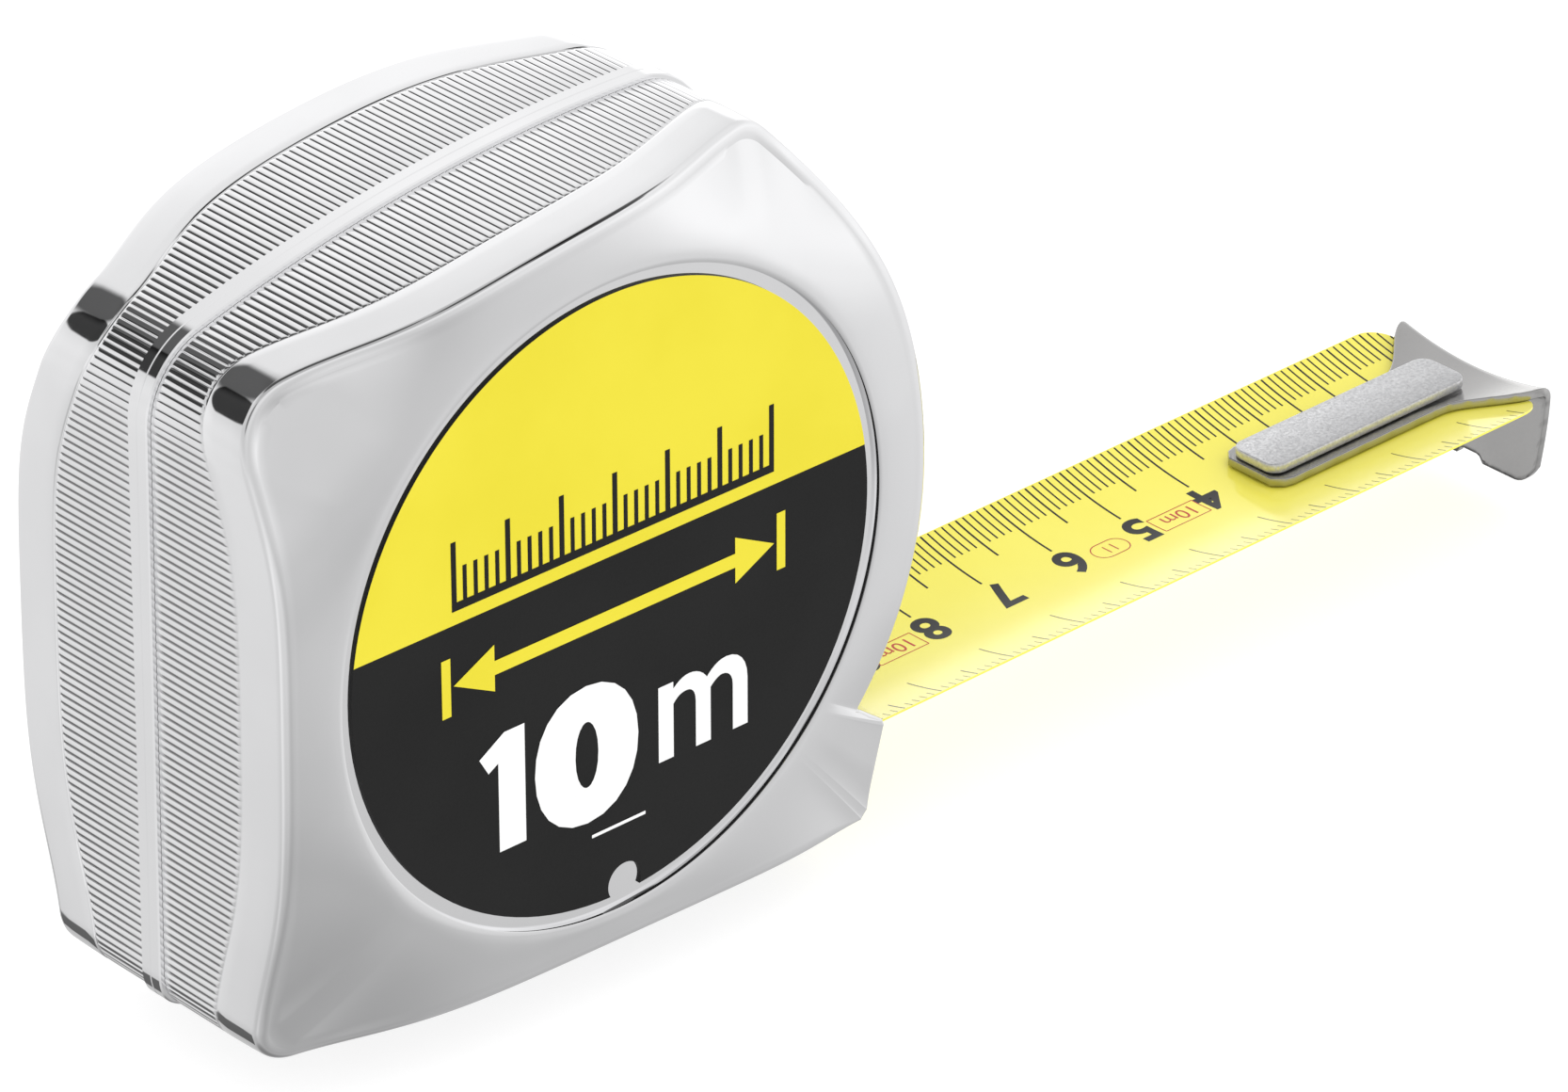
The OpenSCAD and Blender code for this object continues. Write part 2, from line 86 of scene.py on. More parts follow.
def grid_faces(rows: int, columns: int, closed: bool, start: int = 0) -> list[tuple[int, int, int, int]]:
    """Quads of a grid of points.

    Args:
        rows: Number of rows.
        columns: Number of points in a row.
        closed: Whether the last row joins the first.
        start: Number of the grid's first point.

    Returns:
        One tuple of four point numbers for each quad.
    """
    faces = []
    for i in range(rows if closed else rows - 1):
        j = (i + 1) % rows
        for k in range(columns - 1):
            faces.append((start + i * columns + k, start + i * columns + k + 1,
                          start + j * columns + k + 1, start + j * columns + k))
    return faces


def mesh_object(name: str, points: np.ndarray, faces: list, smooth_angle: float = 40.0) -> bpy.types.Object:
    """Object made of points in millimetres.

    Args:
        name: Name of the piece.
        points: Array of points, three numbers each.
        faces: Point numbers of each face.
        smooth_angle: Largest angle between two faces that are shaded as one, in degrees.

    Returns:
        The new object, linked to the scene.
    """
    mesh = bpy.data.meshes.new(name)
    mesh.from_pydata((np.asarray(points, float) * MM).tolist(), [], faces)
    mesh.validate()
    shade(mesh, smooth_angle)
    piece = bpy.data.objects.new(name, mesh)
    bpy.context.scene.collection.objects.link(piece)
    return piece


def shade(mesh: bpy.types.Mesh, smooth_angle: float) -> None:
    """Shades a mesh smooth, with sharp edges above an angle in degrees."""
    mesh.shade_smooth()
    mesh.set_sharp_from_angle(angle=math.radians(smooth_angle))


def outward(piece: bpy.types.Object) -> None:
    """Turns all faces of a piece the same way, away from the middle of its box."""
    work = bmesh.new()
    work.from_mesh(piece.data)
    bmesh.ops.recalc_face_normals(work, faces=work.faces)
    corners = np.array([v.co for v in work.verts])
    middle = Vector((corners.min(0) + corners.max(0)) / 2)
    if sum((f.calc_center_median() - middle).dot(f.normal) * f.calc_area() for f in work.faces) < 0:
        bmesh.ops.reverse_faces(work, faces=work.faces)
    work.to_mesh(piece.data)
    work.free()


def thicken(piece: bpy.types.Object, thickness: float, offset: float = -1.0) -> None:
    """Gives a sheet a thickness in millimetres, behind its face when the offset is -1.

    Args:
        piece: Sheet to thicken.
        thickness: Thickness in millimetres.
        offset: Where the sheet's face lies in the thickness, from -1 to 1.
    """
    solid = piece.modifiers.new("thickness", "SOLIDIFY")
    solid.thickness = thickness * MM
    solid.offset = offset
    solid.use_even_offset = True


def soften(piece: bpy.types.Object, radius: float, segments: int = 3, angle: float = 40.0) -> None:
    """Rounds the edges of a piece that are sharper than an angle.

    Args:
        piece: The piece to round.
        radius: Radius of the rounding in millimetres.
        segments: Number of faces across the rounding.
        angle: Smallest angle that counts as an edge, in degrees.
    """
    bevel = piece.modifiers.new("rounding", "BEVEL")
    bevel.width = radius * MM
    bevel.segments = segments
    bevel.limit_method = "ANGLE"
    bevel.angle_limit = math.radians(angle)
    bevel.harden_normals = True


def freeze(piece: bpy.types.Object, smooth_angle: float = 40.0) -> None:
    """Turns a piece's modifiers into plain mesh and shades it.

    Args:
        piece: Piece whose modifiers are applied.
        smooth_angle: Largest angle in degrees that is shaded smooth.
    """
    graph = bpy.context.evaluated_depsgraph_get()
    made = bpy.data.meshes.new_from_object(piece.evaluated_get(graph))
    piece.modifiers.clear()
    piece.data = made
    shade(made, smooth_angle)


def dress(piece: bpy.types.Object, material: bpy.types.Material) -> None:
    """Gives a piece one material."""
    piece.data.materials.clear()
    piece.data.materials.append(material)


def place(piece: bpy.types.Object, body: str, slot: str, material: bpy.types.Material,
          stands_for: tuple[str, ...] = ()) -> None:
    """Dresses a finished piece and puts it on a body.

    Args:
        piece: The finished piece.
        body: The CAD body that it rides on.
        slot: The record's material slot; not used.
        material: The Blender material.
        stands_for: CAD nodes that the piece replaces.
    """
    dress(piece, material)
    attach(piece, body)
    if stands_for:
        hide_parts(*stands_for)
    log.info("%s on %s", piece.name, body)


# ---------------------------------------------------------------- finishes


class NodeBuilder:
    """Small helper that adds and links shader nodes in one tree."""

    def __init__(self, tree: bpy.types.NodeTree) -> None:
        """Keeps the tree that nodes are added to."""
        self.tree = tree

    def add(self, kind: str, settings: dict | None = None, **inputs: object) -> bpy.types.Node:
        """Adds a node.

        Args:
            kind: Blender's name of the node's type.
            settings: Attributes to set on the node.
            inputs: Input sockets by name with _ for a space, each a value or a socket to link.

        Returns:
            The new node.
        """
        node = self.tree.nodes.new(kind)
        for name, value in (settings or {}).items():
            setattr(node, name, value)
        for name, value in inputs.items():
            self.put(node.inputs[name.replace("_", " ")], value)
        return node

    def put(self, socket: bpy.types.NodeSocket, value: object) -> None:
        """Sets a socket to a value or links another socket to it."""
        if isinstance(value, bpy.types.NodeSocket):
            self.tree.links.new(value, socket)
        else:
            socket.default_value = value

    def math(self, operation: str, a: object, b: object = 0.0, clamp: bool = False) -> bpy.types.NodeSocket:
        """Result of a Math node."""
        node = self.add("ShaderNodeMath", {"operation": operation, "use_clamp": clamp})
        self.put(node.inputs[0], a)
        self.put(node.inputs[1], b)
        return node.outputs[0]

    def spread(self, value: object, low: float, high: float, to_low: float = 0.0,
               to_high: float = 1.0) -> bpy.types.NodeSocket:
        """Value taken smoothly from one range to another."""
        node = self.add("ShaderNodeMapRange", {"interpolation_type": "SMOOTHSTEP"}, Value=value,
                        From_Min=low, From_Max=high, To_Min=to_low, To_Max=to_high)
        return node.outputs[0]


def new_group(
        name: str, inputs: dict[str, tuple[str, object]],
        outputs: dict[str, str]) -> tuple[bpy.types.NodeTree, NodeBuilder, bpy.types.Node, bpy.types.Node]:
    """Empty shader node group with named sockets.

    Args:
        name: Name of the group.
        inputs: Socket type and default value of each input.
        outputs: Socket type of each output.

    Returns:
        The group, its builder, its input node and its output node.
    """
    group = bpy.data.node_groups.new(name, "ShaderNodeTree")
    for label, (kind, default) in inputs.items():
        socket = group.interface.new_socket(name=label, in_out="INPUT", socket_type=kind)
        socket.default_value = default
    for label, kind in outputs.items():
        group.interface.new_socket(name=label, in_out="OUTPUT", socket_type=kind)
    return group, NodeBuilder(group), group.nodes.new("NodeGroupInput"), group.nodes.new("NodeGroupOutput")


class Effects:
    """Shader node groups that several finishes use, each built once."""

    def __init__(self) -> None:
        """Builds the groups."""
        self.grain = self._grain()
        self.hairlines = self._hairlines()
        self.mottle = self._mottle()

    def _grain(self) -> bpy.types.NodeTree:
        """Fine height of a moulded or blasted surface, with the share of its high spots."""
        group, nodes, come, go = new_group(
            "fine_grain", {"Size": ("NodeSocketFloat", 2000.0), "Detail": ("NodeSocketFloat", 2.0)},
            {"Height": "NodeSocketFloat", "Peaks": "NodeSocketFloat"})
        where = nodes.add("ShaderNodeTexCoord").outputs["Object"]
        noise = nodes.add("ShaderNodeTexNoise", Vector=where, Scale=come.outputs["Size"],
                          Detail=come.outputs["Detail"], Roughness=0.6).outputs["Fac"]
        nodes.put(go.inputs["Height"], noise)
        nodes.put(go.inputs["Peaks"], nodes.spread(noise, 0.52, 0.66))
        return group

    def _hairlines(self) -> bpy.types.NodeTree:
        """Mask of sparse fine scratches from handling, in two directions."""
        group, nodes, come, go = new_group(
            "hairlines", {"Density": ("NodeSocketFloat", 1.0)}, {"Mask": "NodeSocketFloat"})
        where = nodes.add("ShaderNodeTexCoord").outputs["Object"]
        masks = []
        for turn in (0.4, 2.1):
            lay = nodes.add("ShaderNodeMapping", Vector=where, Rotation=(turn, 0.7 * turn, turn),
                            Scale=(900.0, 14.0, 900.0)).outputs[0]
            noise = nodes.add("ShaderNodeTexNoise", Vector=lay, Scale=1.0, Detail=1.0).outputs["Fac"]
            masks.append(nodes.spread(noise, 0.72, 0.80))
        both = nodes.math("MAXIMUM", masks[0], masks[1])
        nodes.put(go.inputs["Mask"], nodes.math("MULTIPLY", both, come.outputs["Density"], clamp=True))
        return group

    def _mottle(self) -> bpy.types.NodeTree:
        """Two colours mixed in slow soft patches."""
        group, nodes, come, go = new_group(
            "soft_mottle",
            {"Light": ("NodeSocketColor", (1, 1, 1, 1)), "Dark": ("NodeSocketColor", (0, 0, 0, 1)),
             "Size": ("NodeSocketFloat", 60.0)},
            {"Color": "NodeSocketColor", "Mask": "NodeSocketFloat"})
        where = nodes.add("ShaderNodeTexCoord").outputs["Object"]
        size = come.outputs["Size"]
        noise = nodes.add("ShaderNodeTexNoise", Vector=where, Scale=size, Detail=3.0).outputs["Fac"]
        mask = nodes.spread(noise, 0.35, 0.65)
        mix = nodes.add("ShaderNodeMix", {"data_type": "RGBA"})
        nodes.put(mix.inputs[0], mask)
        nodes.put(mix.inputs[6], come.outputs["Dark"])
        nodes.put(mix.inputs[7], come.outputs["Light"])
        nodes.put(go.inputs["Color"], mix.outputs[2])
        nodes.put(go.inputs["Mask"], mask)
        return group


@dataclass(frozen=True)
class Finish:
    """One surface finish, from its colours and its fine relief."""

    name: str
    light: RGB
    dark: RGB
    metallic: float = 0.0
    roughness: float = 0.4
    rough_spread: float = 0.05
    grain_size: float = 2500.0
    grain_depth: float = 0.02
    patch_size: float = 60.0
    scratches: float = 0.0
    coat: float = 0.0
    coat_roughness: float = 0.05
    coat_ior: float = 1.5
    specular: float = 0.5

    def build(self, effects: Effects) -> bpy.types.Material:
        """Makes the material.

        Args:
            effects: The shared shader node groups.

        Returns:
            The new material.
        """
        material = bpy.data.materials.new(self.name)
        material.use_nodes = True
        nodes = NodeBuilder(material.node_tree)
        shader = material.node_tree.nodes["Principled BSDF"]
        colour = nodes.add("ShaderNodeGroup", {"node_tree": effects.mottle}, Light=(*self.light, 1.0),
                           Dark=(*self.dark, 1.0), Size=self.patch_size)
        grain = nodes.add("ShaderNodeGroup", {"node_tree": effects.grain}, Size=self.grain_size)
        rough = nodes.spread(grain.outputs["Height"], 0.3, 0.7,
                             self.roughness, self.roughness + self.rough_spread)
        if self.scratches:
            lines = nodes.add("ShaderNodeGroup", {"node_tree": effects.hairlines}, Density=self.scratches)
            rough = nodes.math("ADD", rough, nodes.math("MULTIPLY", lines.outputs["Mask"], 0.25))
        bump = nodes.add("ShaderNodeBump", Strength=0.5, Distance=self.grain_depth * MM,
                         Height=grain.outputs["Height"])
        nodes.put(shader.inputs["Base Color"], colour.outputs["Color"])
        nodes.put(shader.inputs["Roughness"], rough)
        nodes.put(shader.inputs["Normal"], bump.outputs[0])
        shader.inputs["Metallic"].default_value = self.metallic
        shader.inputs["Coat Weight"].default_value = self.coat
        shader.inputs["Coat Roughness"].default_value = self.coat_roughness
        shader.inputs["Coat IOR"].default_value = self.coat_ior
        shader.inputs["Specular IOR Level"].default_value = self.specular
        return material


@dataclass
class Paints:
    """Every finish on the tape measure, built once."""

    effects: Effects = field(default_factory=Effects)
    made: dict[str, bpy.types.Material] = field(default_factory=dict)

    FINISHES = (
        Finish("bright_chrome", (0.88, 0.88, 0.89), (0.85, 0.85, 0.86), metallic=1.0, roughness=0.035,
               rough_spread=0.02, grain_size=900.0, grain_depth=0.0004, scratches=0.12),
        Finish("label_yellow", (0.82, 0.71, 0.035), (0.79, 0.68, 0.027), roughness=0.5, grain_size=4000.0,
               grain_depth=0.004, specular=0.25),
        Finish("label_black", (0.008, 0.008, 0.008), (0.006, 0.006, 0.006), roughness=0.5, grain_size=4000.0,
               grain_depth=0.004, specular=0.25),
        Finish("label_white", (0.93, 0.93, 0.93), (0.90, 0.90, 0.90), roughness=0.45, grain_size=4000.0,
               grain_depth=0.004),
        Finish("blade_yellow", (0.97, 0.89, 0.12), (0.95, 0.86, 0.10), roughness=0.30, grain_size=3000.0,
               grain_depth=0.003, coat=1.0, coat_roughness=0.10, coat_ior=1.45, specular=0.2, scratches=0.3),
        Finish("blade_ink", (0.012, 0.012, 0.010), (0.008, 0.008, 0.008), roughness=0.32, coat=1.0,
               coat_roughness=0.10, coat_ior=1.45, specular=0.0),
        Finish("blade_red", (0.55, 0.05, 0.03), (0.50, 0.04, 0.03), roughness=0.32, coat=1.0,
               coat_roughness=0.10, coat_ior=1.45, specular=0.0),
        Finish("matt_zinc", (0.74, 0.74, 0.75), (0.63, 0.63, 0.64), metallic=0.85, roughness=0.34,
               rough_spread=0.3, grain_size=3800.0, grain_depth=0.05, patch_size=2600.0),
        Finish("bright_nickel", (0.46, 0.455, 0.45), (0.42, 0.415, 0.41), metallic=1.0, roughness=0.14,
               rough_spread=0.08, grain_size=2600.0, grain_depth=0.006, scratches=0.3),
        Finish("zinc_steel", (0.60, 0.61, 0.63), (0.50, 0.51, 0.53), metallic=1.0, roughness=0.28,
               grain_size=1800.0, scratches=0.4),
        Finish("black_screw", (0.06, 0.06, 0.065), (0.04, 0.04, 0.045), metallic=0.9, roughness=0.32,
               grain_depth=0.002),
        Finish("spring_steel", (0.68, 0.69, 0.71), (0.60, 0.61, 0.63), metallic=1.0, roughness=0.2,
               grain_size=1500.0, grain_depth=0.004, scratches=0.5),
        Finish("blued_steel", (0.10, 0.12, 0.18), (0.06, 0.07, 0.11), metallic=1.0, roughness=0.3,
               grain_depth=0.002),
        Finish("black_plastic", (0.028, 0.028, 0.03), (0.02, 0.02, 0.022), roughness=0.45, grain_size=2200.0,
               grain_depth=0.03),
        Finish("black_nylon", (0.035, 0.035, 0.037), (0.025, 0.025, 0.027), roughness=0.5),
        Finish("black_rubber", (0.02, 0.02, 0.02), (0.014, 0.014, 0.014), roughness=0.75, grain_depth=0.05),
        Finish("white_nylon", (0.78, 0.78, 0.74), (0.72, 0.72, 0.68), roughness=0.45),
        Finish("ivory_plastic", (0.72, 0.66, 0.50), (0.66, 0.60, 0.45), roughness=0.4),
    )

    def __post_init__(self) -> None:
        """Builds each finish."""
        for finish in self.FINISHES:
            self.made[finish.name] = finish.build(self.effects)

    def __getitem__(self, name: str) -> bpy.types.Material:
        """The material of a finish."""
        return self.made[name]


# ---------------------------------------------------------------- case


def turned(points: np.ndarray, degrees: float) -> np.ndarray:
    """Plane points turned about the origin, anticlockwise."""
    c, s = math.cos(math.radians(degrees)), math.sin(math.radians(degrees))
    return points @ np.array([[c, s], [-s, c]])


def circles_meet(c1: np.ndarray, r1: float, c2: np.ndarray, r2: float) -> np.ndarray:
    """Point where two circles meet, on the side of larger X.

    Args:
        c1: Centre of the first circle.
        r1: Radius of the first circle.
        c2: Centre of the second circle.
        r2: Radius of the second circle.

    Returns:
        The point, in the plane of the two centres.
    """
    apart = np.linalg.norm(c2 - c1)
    along = (r1 * r1 - r2 * r2 + apart * apart) / (2 * apart)
    high = math.sqrt(r1 * r1 - along * along)
    unit = (c2 - c1) / apart
    return c1 + along * unit + high * np.array([-unit[1], unit[0]])


def bearing(start: np.ndarray, end: np.ndarray) -> float:
    """Direction from one point to another, in degrees above +X."""
    return math.degrees(math.atan2(end[1] - start[1], end[0] - start[0]))


@dataclass
class CaseOutline:
    """Side view of the case as one closed line, which starts at the upper lip of the mouth."""

    half_len: float = field(default_factory=lambda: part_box("case_right")[1].x / MM)
    height: float = field(default_factory=lambda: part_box("case_right")[1].z / MM)
    axis_drop: float = 1.85
    bead: float = 0.5
    crown_radius: float = 175.0
    crown_x: float = 19.0
    front_radius: float = 56.0
    chin_radius: float = 40.0
    brow_radius: float = 8.0
    nape_radius: float = 9.0
    heel_radius: float = 4.5
    lip_z: float = 13.7
    toe_z: float = 11.5
    toe_set: float = 4.2
    toe_lean: float = 1.2
    fine_step: float = 0.1
    corner_ease: float = 0.45

    def __post_init__(self) -> None:
        """Works out the line's points, outward directions and running length."""
        self.axis_z = self.height / 2 - self.axis_drop
        self.front_centre = np.array([self.half_len - self.front_radius, self.axis_z])
        chin = np.array([self.half_len - self.chin_radius, self.axis_z])
        crown = np.array([self.crown_x, self.height - self.crown_radius])
        nape_x = self.nape_radius - self.half_len
        reach = self.crown_radius - self.nape_radius
        nape = np.array([nape_x, crown[1] + math.sqrt(reach ** 2 - (nape_x - crown[0]) ** 2)])
        self.brow = circles_meet(self.front_centre, self.front_radius - self.brow_radius, crown,
                                  self.crown_radius - self.brow_radius)
        lip = math.degrees(math.asin((self.axis_z - self.lip_z) / self.chin_radius))
        arcs = (
            (chin, self.chin_radius, -lip, 0.0),
            (self.front_centre, self.front_radius, 0.0, bearing(self.front_centre, self.brow)),
            (self.brow, self.brow_radius, bearing(self.front_centre, self.brow), bearing(crown, self.brow)),
            (crown, self.crown_radius, bearing(crown, self.brow), bearing(crown, nape)),
            (nape, self.nape_radius, bearing(crown, nape), 180.0),
        )
        points, normals = [], []
        for centre, radius, start, end in arcs:
            self._arc(points, normals, centre, radius - self.bead, start, end)
        heel = np.array([self.heel_radius - self.half_len + self.bead, self.heel_radius])
        self._line(points, normals, points[-1][-1], heel + (-self.heel_radius, 0.0))
        self._arc(points, normals, heel, self.heel_radius, 180.0, 270.0)
        toe = self.half_len - self.toe_set - self.bead
        stops = ((toe - self.toe_lean - 1.0, 0.0), (toe - self.toe_lean, 1.0), (toe, self.toe_z - 0.8),
                 (toe - 0.4, self.toe_z), tuple(points[0][0]))
        last = points[-1][-1]
        for stop in stops:
            self._line(points, normals, last, np.array(stop))
            last = np.array(stop)
        self.points, self.normals = np.vstack(points), np.vstack(normals)
        steps = np.linalg.norm(np.diff(self.points, axis=0), axis=1)
        keep = np.concatenate([[True], steps > 1e-6])
        self.points, self.normals = self.points[keep], self.normals[keep]
        self.run = np.concatenate([[0.0], np.cumsum(np.linalg.norm(np.diff(self.points, axis=0), axis=1))])
        self.length = float(self.run[-1])
        self._ease_normals()
        self.corners = {"brow": self.nearest(self.brow + (6.0, 7.0)),
                        "nape": self.nearest(nape + (-6.0, 7.0)),
                        "heel": self.nearest(np.array([-self.half_len, 0.0])),
                        "toe": self.nearest(np.array([self.half_len - 4.0, 0.0]))}
        self.lip_run, self.toe_run = 0.0, self.nearest(np.array([toe, self.toe_z]))

    def _arc(self, points: list, normals: list, centre: np.ndarray, radius: float,
             start: float, end: float) -> None:
        """Adds an arc to the line.

        Args:
            points: Points of the line, added to.
            normals: Outward directions, added to.
            centre: Centre of the arc.
            radius: Radius in millimetres.
            start: First angle in degrees.
            end: Last angle in degrees.
        """
        count = max(4, int(abs(math.radians(end - start)) * radius / self.fine_step))
        a = np.radians(np.linspace(start, end, count))
        out = np.stack([np.cos(a), np.sin(a)], 1)
        points.append(centre + radius * out)
        normals.append(out)

    def _line(self, points: list, normals: list, start: np.ndarray, end: np.ndarray) -> None:
        """Adds a straight stretch to the line.

        Args:
            points: Points of the line, added to.
            normals: Outward directions, added to.
            start: First point.
            end: Last point.
        """
        along = (end - start) / np.linalg.norm(end - start)
        count = max(4, int(np.linalg.norm(end - start) / self.fine_step))
        points.append(start + np.linspace(0, 1, count)[:, None] * (end - start))
        normals.append(np.tile([along[1], -along[0]], (count, 1)))

    def _ease_normals(self) -> None:
        """Turns the outward directions smoothly through sharp corners."""
        even = np.linspace(0, self.length, int(self.length / self.fine_step), endpoint=False)
        reach = int(3 * self.corner_ease / self.fine_step)
        weight = bell(np.arange(-reach, reach + 1) * self.fine_step, self.corner_ease)
        eased = [np.convolve(np.pad(np.interp(even, self.run, self.normals[:, i]), reach, "wrap"),
                             weight / weight.sum(), "valid") for i in (0, 1)]
        self.normals = np.stack([np.interp(self.run, even, part, period=self.length) for part in eased], 1)

    def nearest(self, spot: np.ndarray) -> float:
        """Running length of the line's point nearest to a spot."""
        return float(self.run[np.argmin(np.linalg.norm(self.points - spot, axis=1))])

    def at(self, run: np.ndarray) -> tuple[np.ndarray, np.ndarray]:
        """Points and outward directions at running lengths."""
        run = np.mod(run, self.length)
        spot = np.stack([np.interp(run, self.run, self.points[:, i]) for i in (0, 1)], 1)
        out = np.stack([np.interp(run, self.run, self.normals[:, i]) for i in (0, 1)], 1)
        return spot, out / np.linalg.norm(out, axis=1)[:, None]

    def distance(self, run: np.ndarray, place: float) -> np.ndarray:
        """Distance along the line from running lengths to a place, the shorter way round."""
        apart = np.abs(np.mod(run, self.length) - place)
        return np.minimum(apart, self.length - apart)

    def stations(self, step: float, turn: float) -> np.ndarray:
        """Running lengths no further apart than a step or, on tight bends, than a turn in degrees.

        Args:
            step: Largest step in millimetres.
            turn: Largest turn in degrees.

        Returns:
            The running lengths, in order.
        """
        _, out = self.at(self.run)
        bend = np.degrees(np.arccos(np.clip((out[1:] * out[:-1]).sum(1), -1, 1)))
        cost = np.concatenate([[0.0], np.cumsum(np.maximum(np.diff(self.run) / step, bend / turn))])
        return np.interp(np.linspace(0, cost[-1], int(cost[-1]) + 1)[:-1], cost, self.run)


@dataclass
class CaseShell:
    """One half of the case: bead, ribs, polished band, rolled edge, pillowed face and label recess."""

    outline: CaseOutline
    side: Side
    half_width: float = field(default_factory=lambda: -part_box("case_right")[0].y / MM)
    bead_half: float = 1.4
    rib_pitch: float = 0.84
    rib_depth: float = 0.085
    trough: float = 0.11
    band_width: float = 5.2
    rim_middle: float = 18.75
    roll_width: float = 1.7
    roll_rise: float = 1.0
    flat_radius: float = 34.5
    pillow: float = 1.45
    recess_radius: float = 33.6
    recess_depth: float = 0.6
    mouth_half: float = 13.5
    floor_z: float = 2.0
    ledge_lean: float = 2.8
    wall: float = 0.8
    slot_half: float = 2.9
    slot_angles: tuple[float, float] = (0.2, 15.6)
    track_angles: tuple[float, float] = (-3.0, 23.0)
    screw_radius: float = 2.7
    bore_depth: float = 10.0

    def rim(self, run: np.ndarray) -> np.ndarray:
        """Distance of the rolled edge from the parting line: least at the four corners."""
        drop = np.zeros_like(run)
        for corner, depth, width in (("brow", 6.0, 14.0), ("nape", 6.0, 12.0), ("heel", 4.7, 14.0),
                                     ("toe", 1.3, 9.0)):
            drop += depth * bell(self.outline.distance(run, self.outline.corners[corner]), width)
        return self.rim_middle - drop

    def mouth(self, run: np.ndarray, fade: float) -> np.ndarray:
        """1 at the mouth's height in the front wall, fading to 0 over a distance.

        Args:
            run: Running lengths round the outline.
            fade: Distance of the fade in millimetres.

        Returns:
            A mask for each running length.
        """
        spot, _ = self.outline.at(run)
        inside = np.maximum(ramp(self.outline.lip_z + 0.3 + fade - spot[:, 1], 0.0, max(fade, 0.01)), 0.0)
        above = ramp(spot[:, 1], self.floor_z - fade - 0.01, self.floor_z)
        return inside * above * (spot[:, 0] > 20.0)

    def ribbed(self, run: np.ndarray) -> np.ndarray:
        """1 where the edge is ribbed, and 0 at the button's track and round the mouth."""
        spot, _ = self.outline.at(run)
        angle = np.degrees(np.arctan2(spot[:, 1] - self.outline.front_centre[1],
                                      spot[:, 0] - self.outline.front_centre[0]))
        track = (angle > self.track_angles[0]) & (angle < self.track_angles[1]) & (spot[:, 0] > 0)
        low = (spot[:, 0] > 24.0) & (spot[:, 1] < self.outline.lip_z + 2.0)
        return np.where(track | low, 0.0, 1.0)

    def rib_end(self, run: np.ndarray) -> np.ndarray:
        """Distance of the ribs' ends from the parting line."""
        free = self.rim(run) - self.band_width
        near_mouth = self.mouth(run, 5.0)
        return free * (1 - near_mouth) + (self.mouth_half - 0.3) * near_mouth

    def build(self) -> list[bpy.types.Object]:
        """Makes the shell and its ribs.

        Returns:
            The two pieces.
        """
        return [self._shell(), self._ribs()]

    def _place(self, spot: np.ndarray, y: np.ndarray) -> np.ndarray:
        """Points at side-view spots and distances from the parting line, on this half's side."""
        return np.stack([spot[:, 0], y * self.side.value, spot[:, 1]], 1)

    def _edge_columns(self, run: np.ndarray) -> list[np.ndarray]:
        """Columns of points over the edge, from the parting line to the start of the roll.

        Args:
            run: Running lengths round the outline.

        Returns:
            One array of points for each column.
        """
        spot, out = self.outline.at(run)
        bead = self.outline.bead * ramp(spot[:, 1], 0.0, 2.5)
        low = -self.trough * self.ribbed(run)
        end = self.rib_end(run)
        rim = self.rim(run)
        columns = [(np.zeros_like(run), bead - 0.12), (np.full_like(run, 0.1), bead),
                   (np.full_like(run, self.bead_half - 0.15), bead),
                   (np.full_like(run, self.bead_half), bead - 0.15),
                   (np.full_like(run, self.bead_half + 0.05), low),
                   (np.full_like(run, self.slot_half), low), ((end + self.slot_half) / 2, low), (end, low),
                   (end + 0.12, low), (end + 0.22, low * 0.15), (end + 0.3, np.zeros_like(low))]
        for t in (0.25, 0.5, 0.75, 1.0):
            columns.append((end + 0.3 + (rim - end - 0.3) * t, np.full_like(run, -0.1 * t * t)))
        return [self._place(spot + high[:, None] * out, y) for y, high in columns]

    def _roll_columns(self, run: np.ndarray) -> tuple[list[np.ndarray], np.ndarray, np.ndarray]:
        """Columns of points over the rolled edge.

        Args:
            run: Running lengths of the stations.

        Returns:
            The columns, and the side-view spots and distances from the parting line where they end.
        """
        spot, out = self.outline.at(run)
        rim = self.rim(run)
        line = self.outline
        sharp = np.max([bell(line.distance(run, place), width) for place, width in (
            (line.toe_run, 7.0), (line.lip_run, 7.0), (line.corners["toe"], 5.0))], axis=0)
        inset = self.roll_width * (1 - 0.75 * sharp)
        rise = self.roll_rise * (1 - 0.5 * sharp)
        columns = []
        for t in np.linspace(0, 1, 9)[1:]:
            into = 0.1 * (1 - t) ** 2 + 2 * t * (1 - t) * 0.1 + t * t * inset
            y = rim * (1 - t) ** 2 + (1 - (1 - t) ** 2) * (rim + rise)
            columns.append(self._place(spot - into[:, None] * out, y))
        return columns, spot - inset[:, None] * out, rim + rise

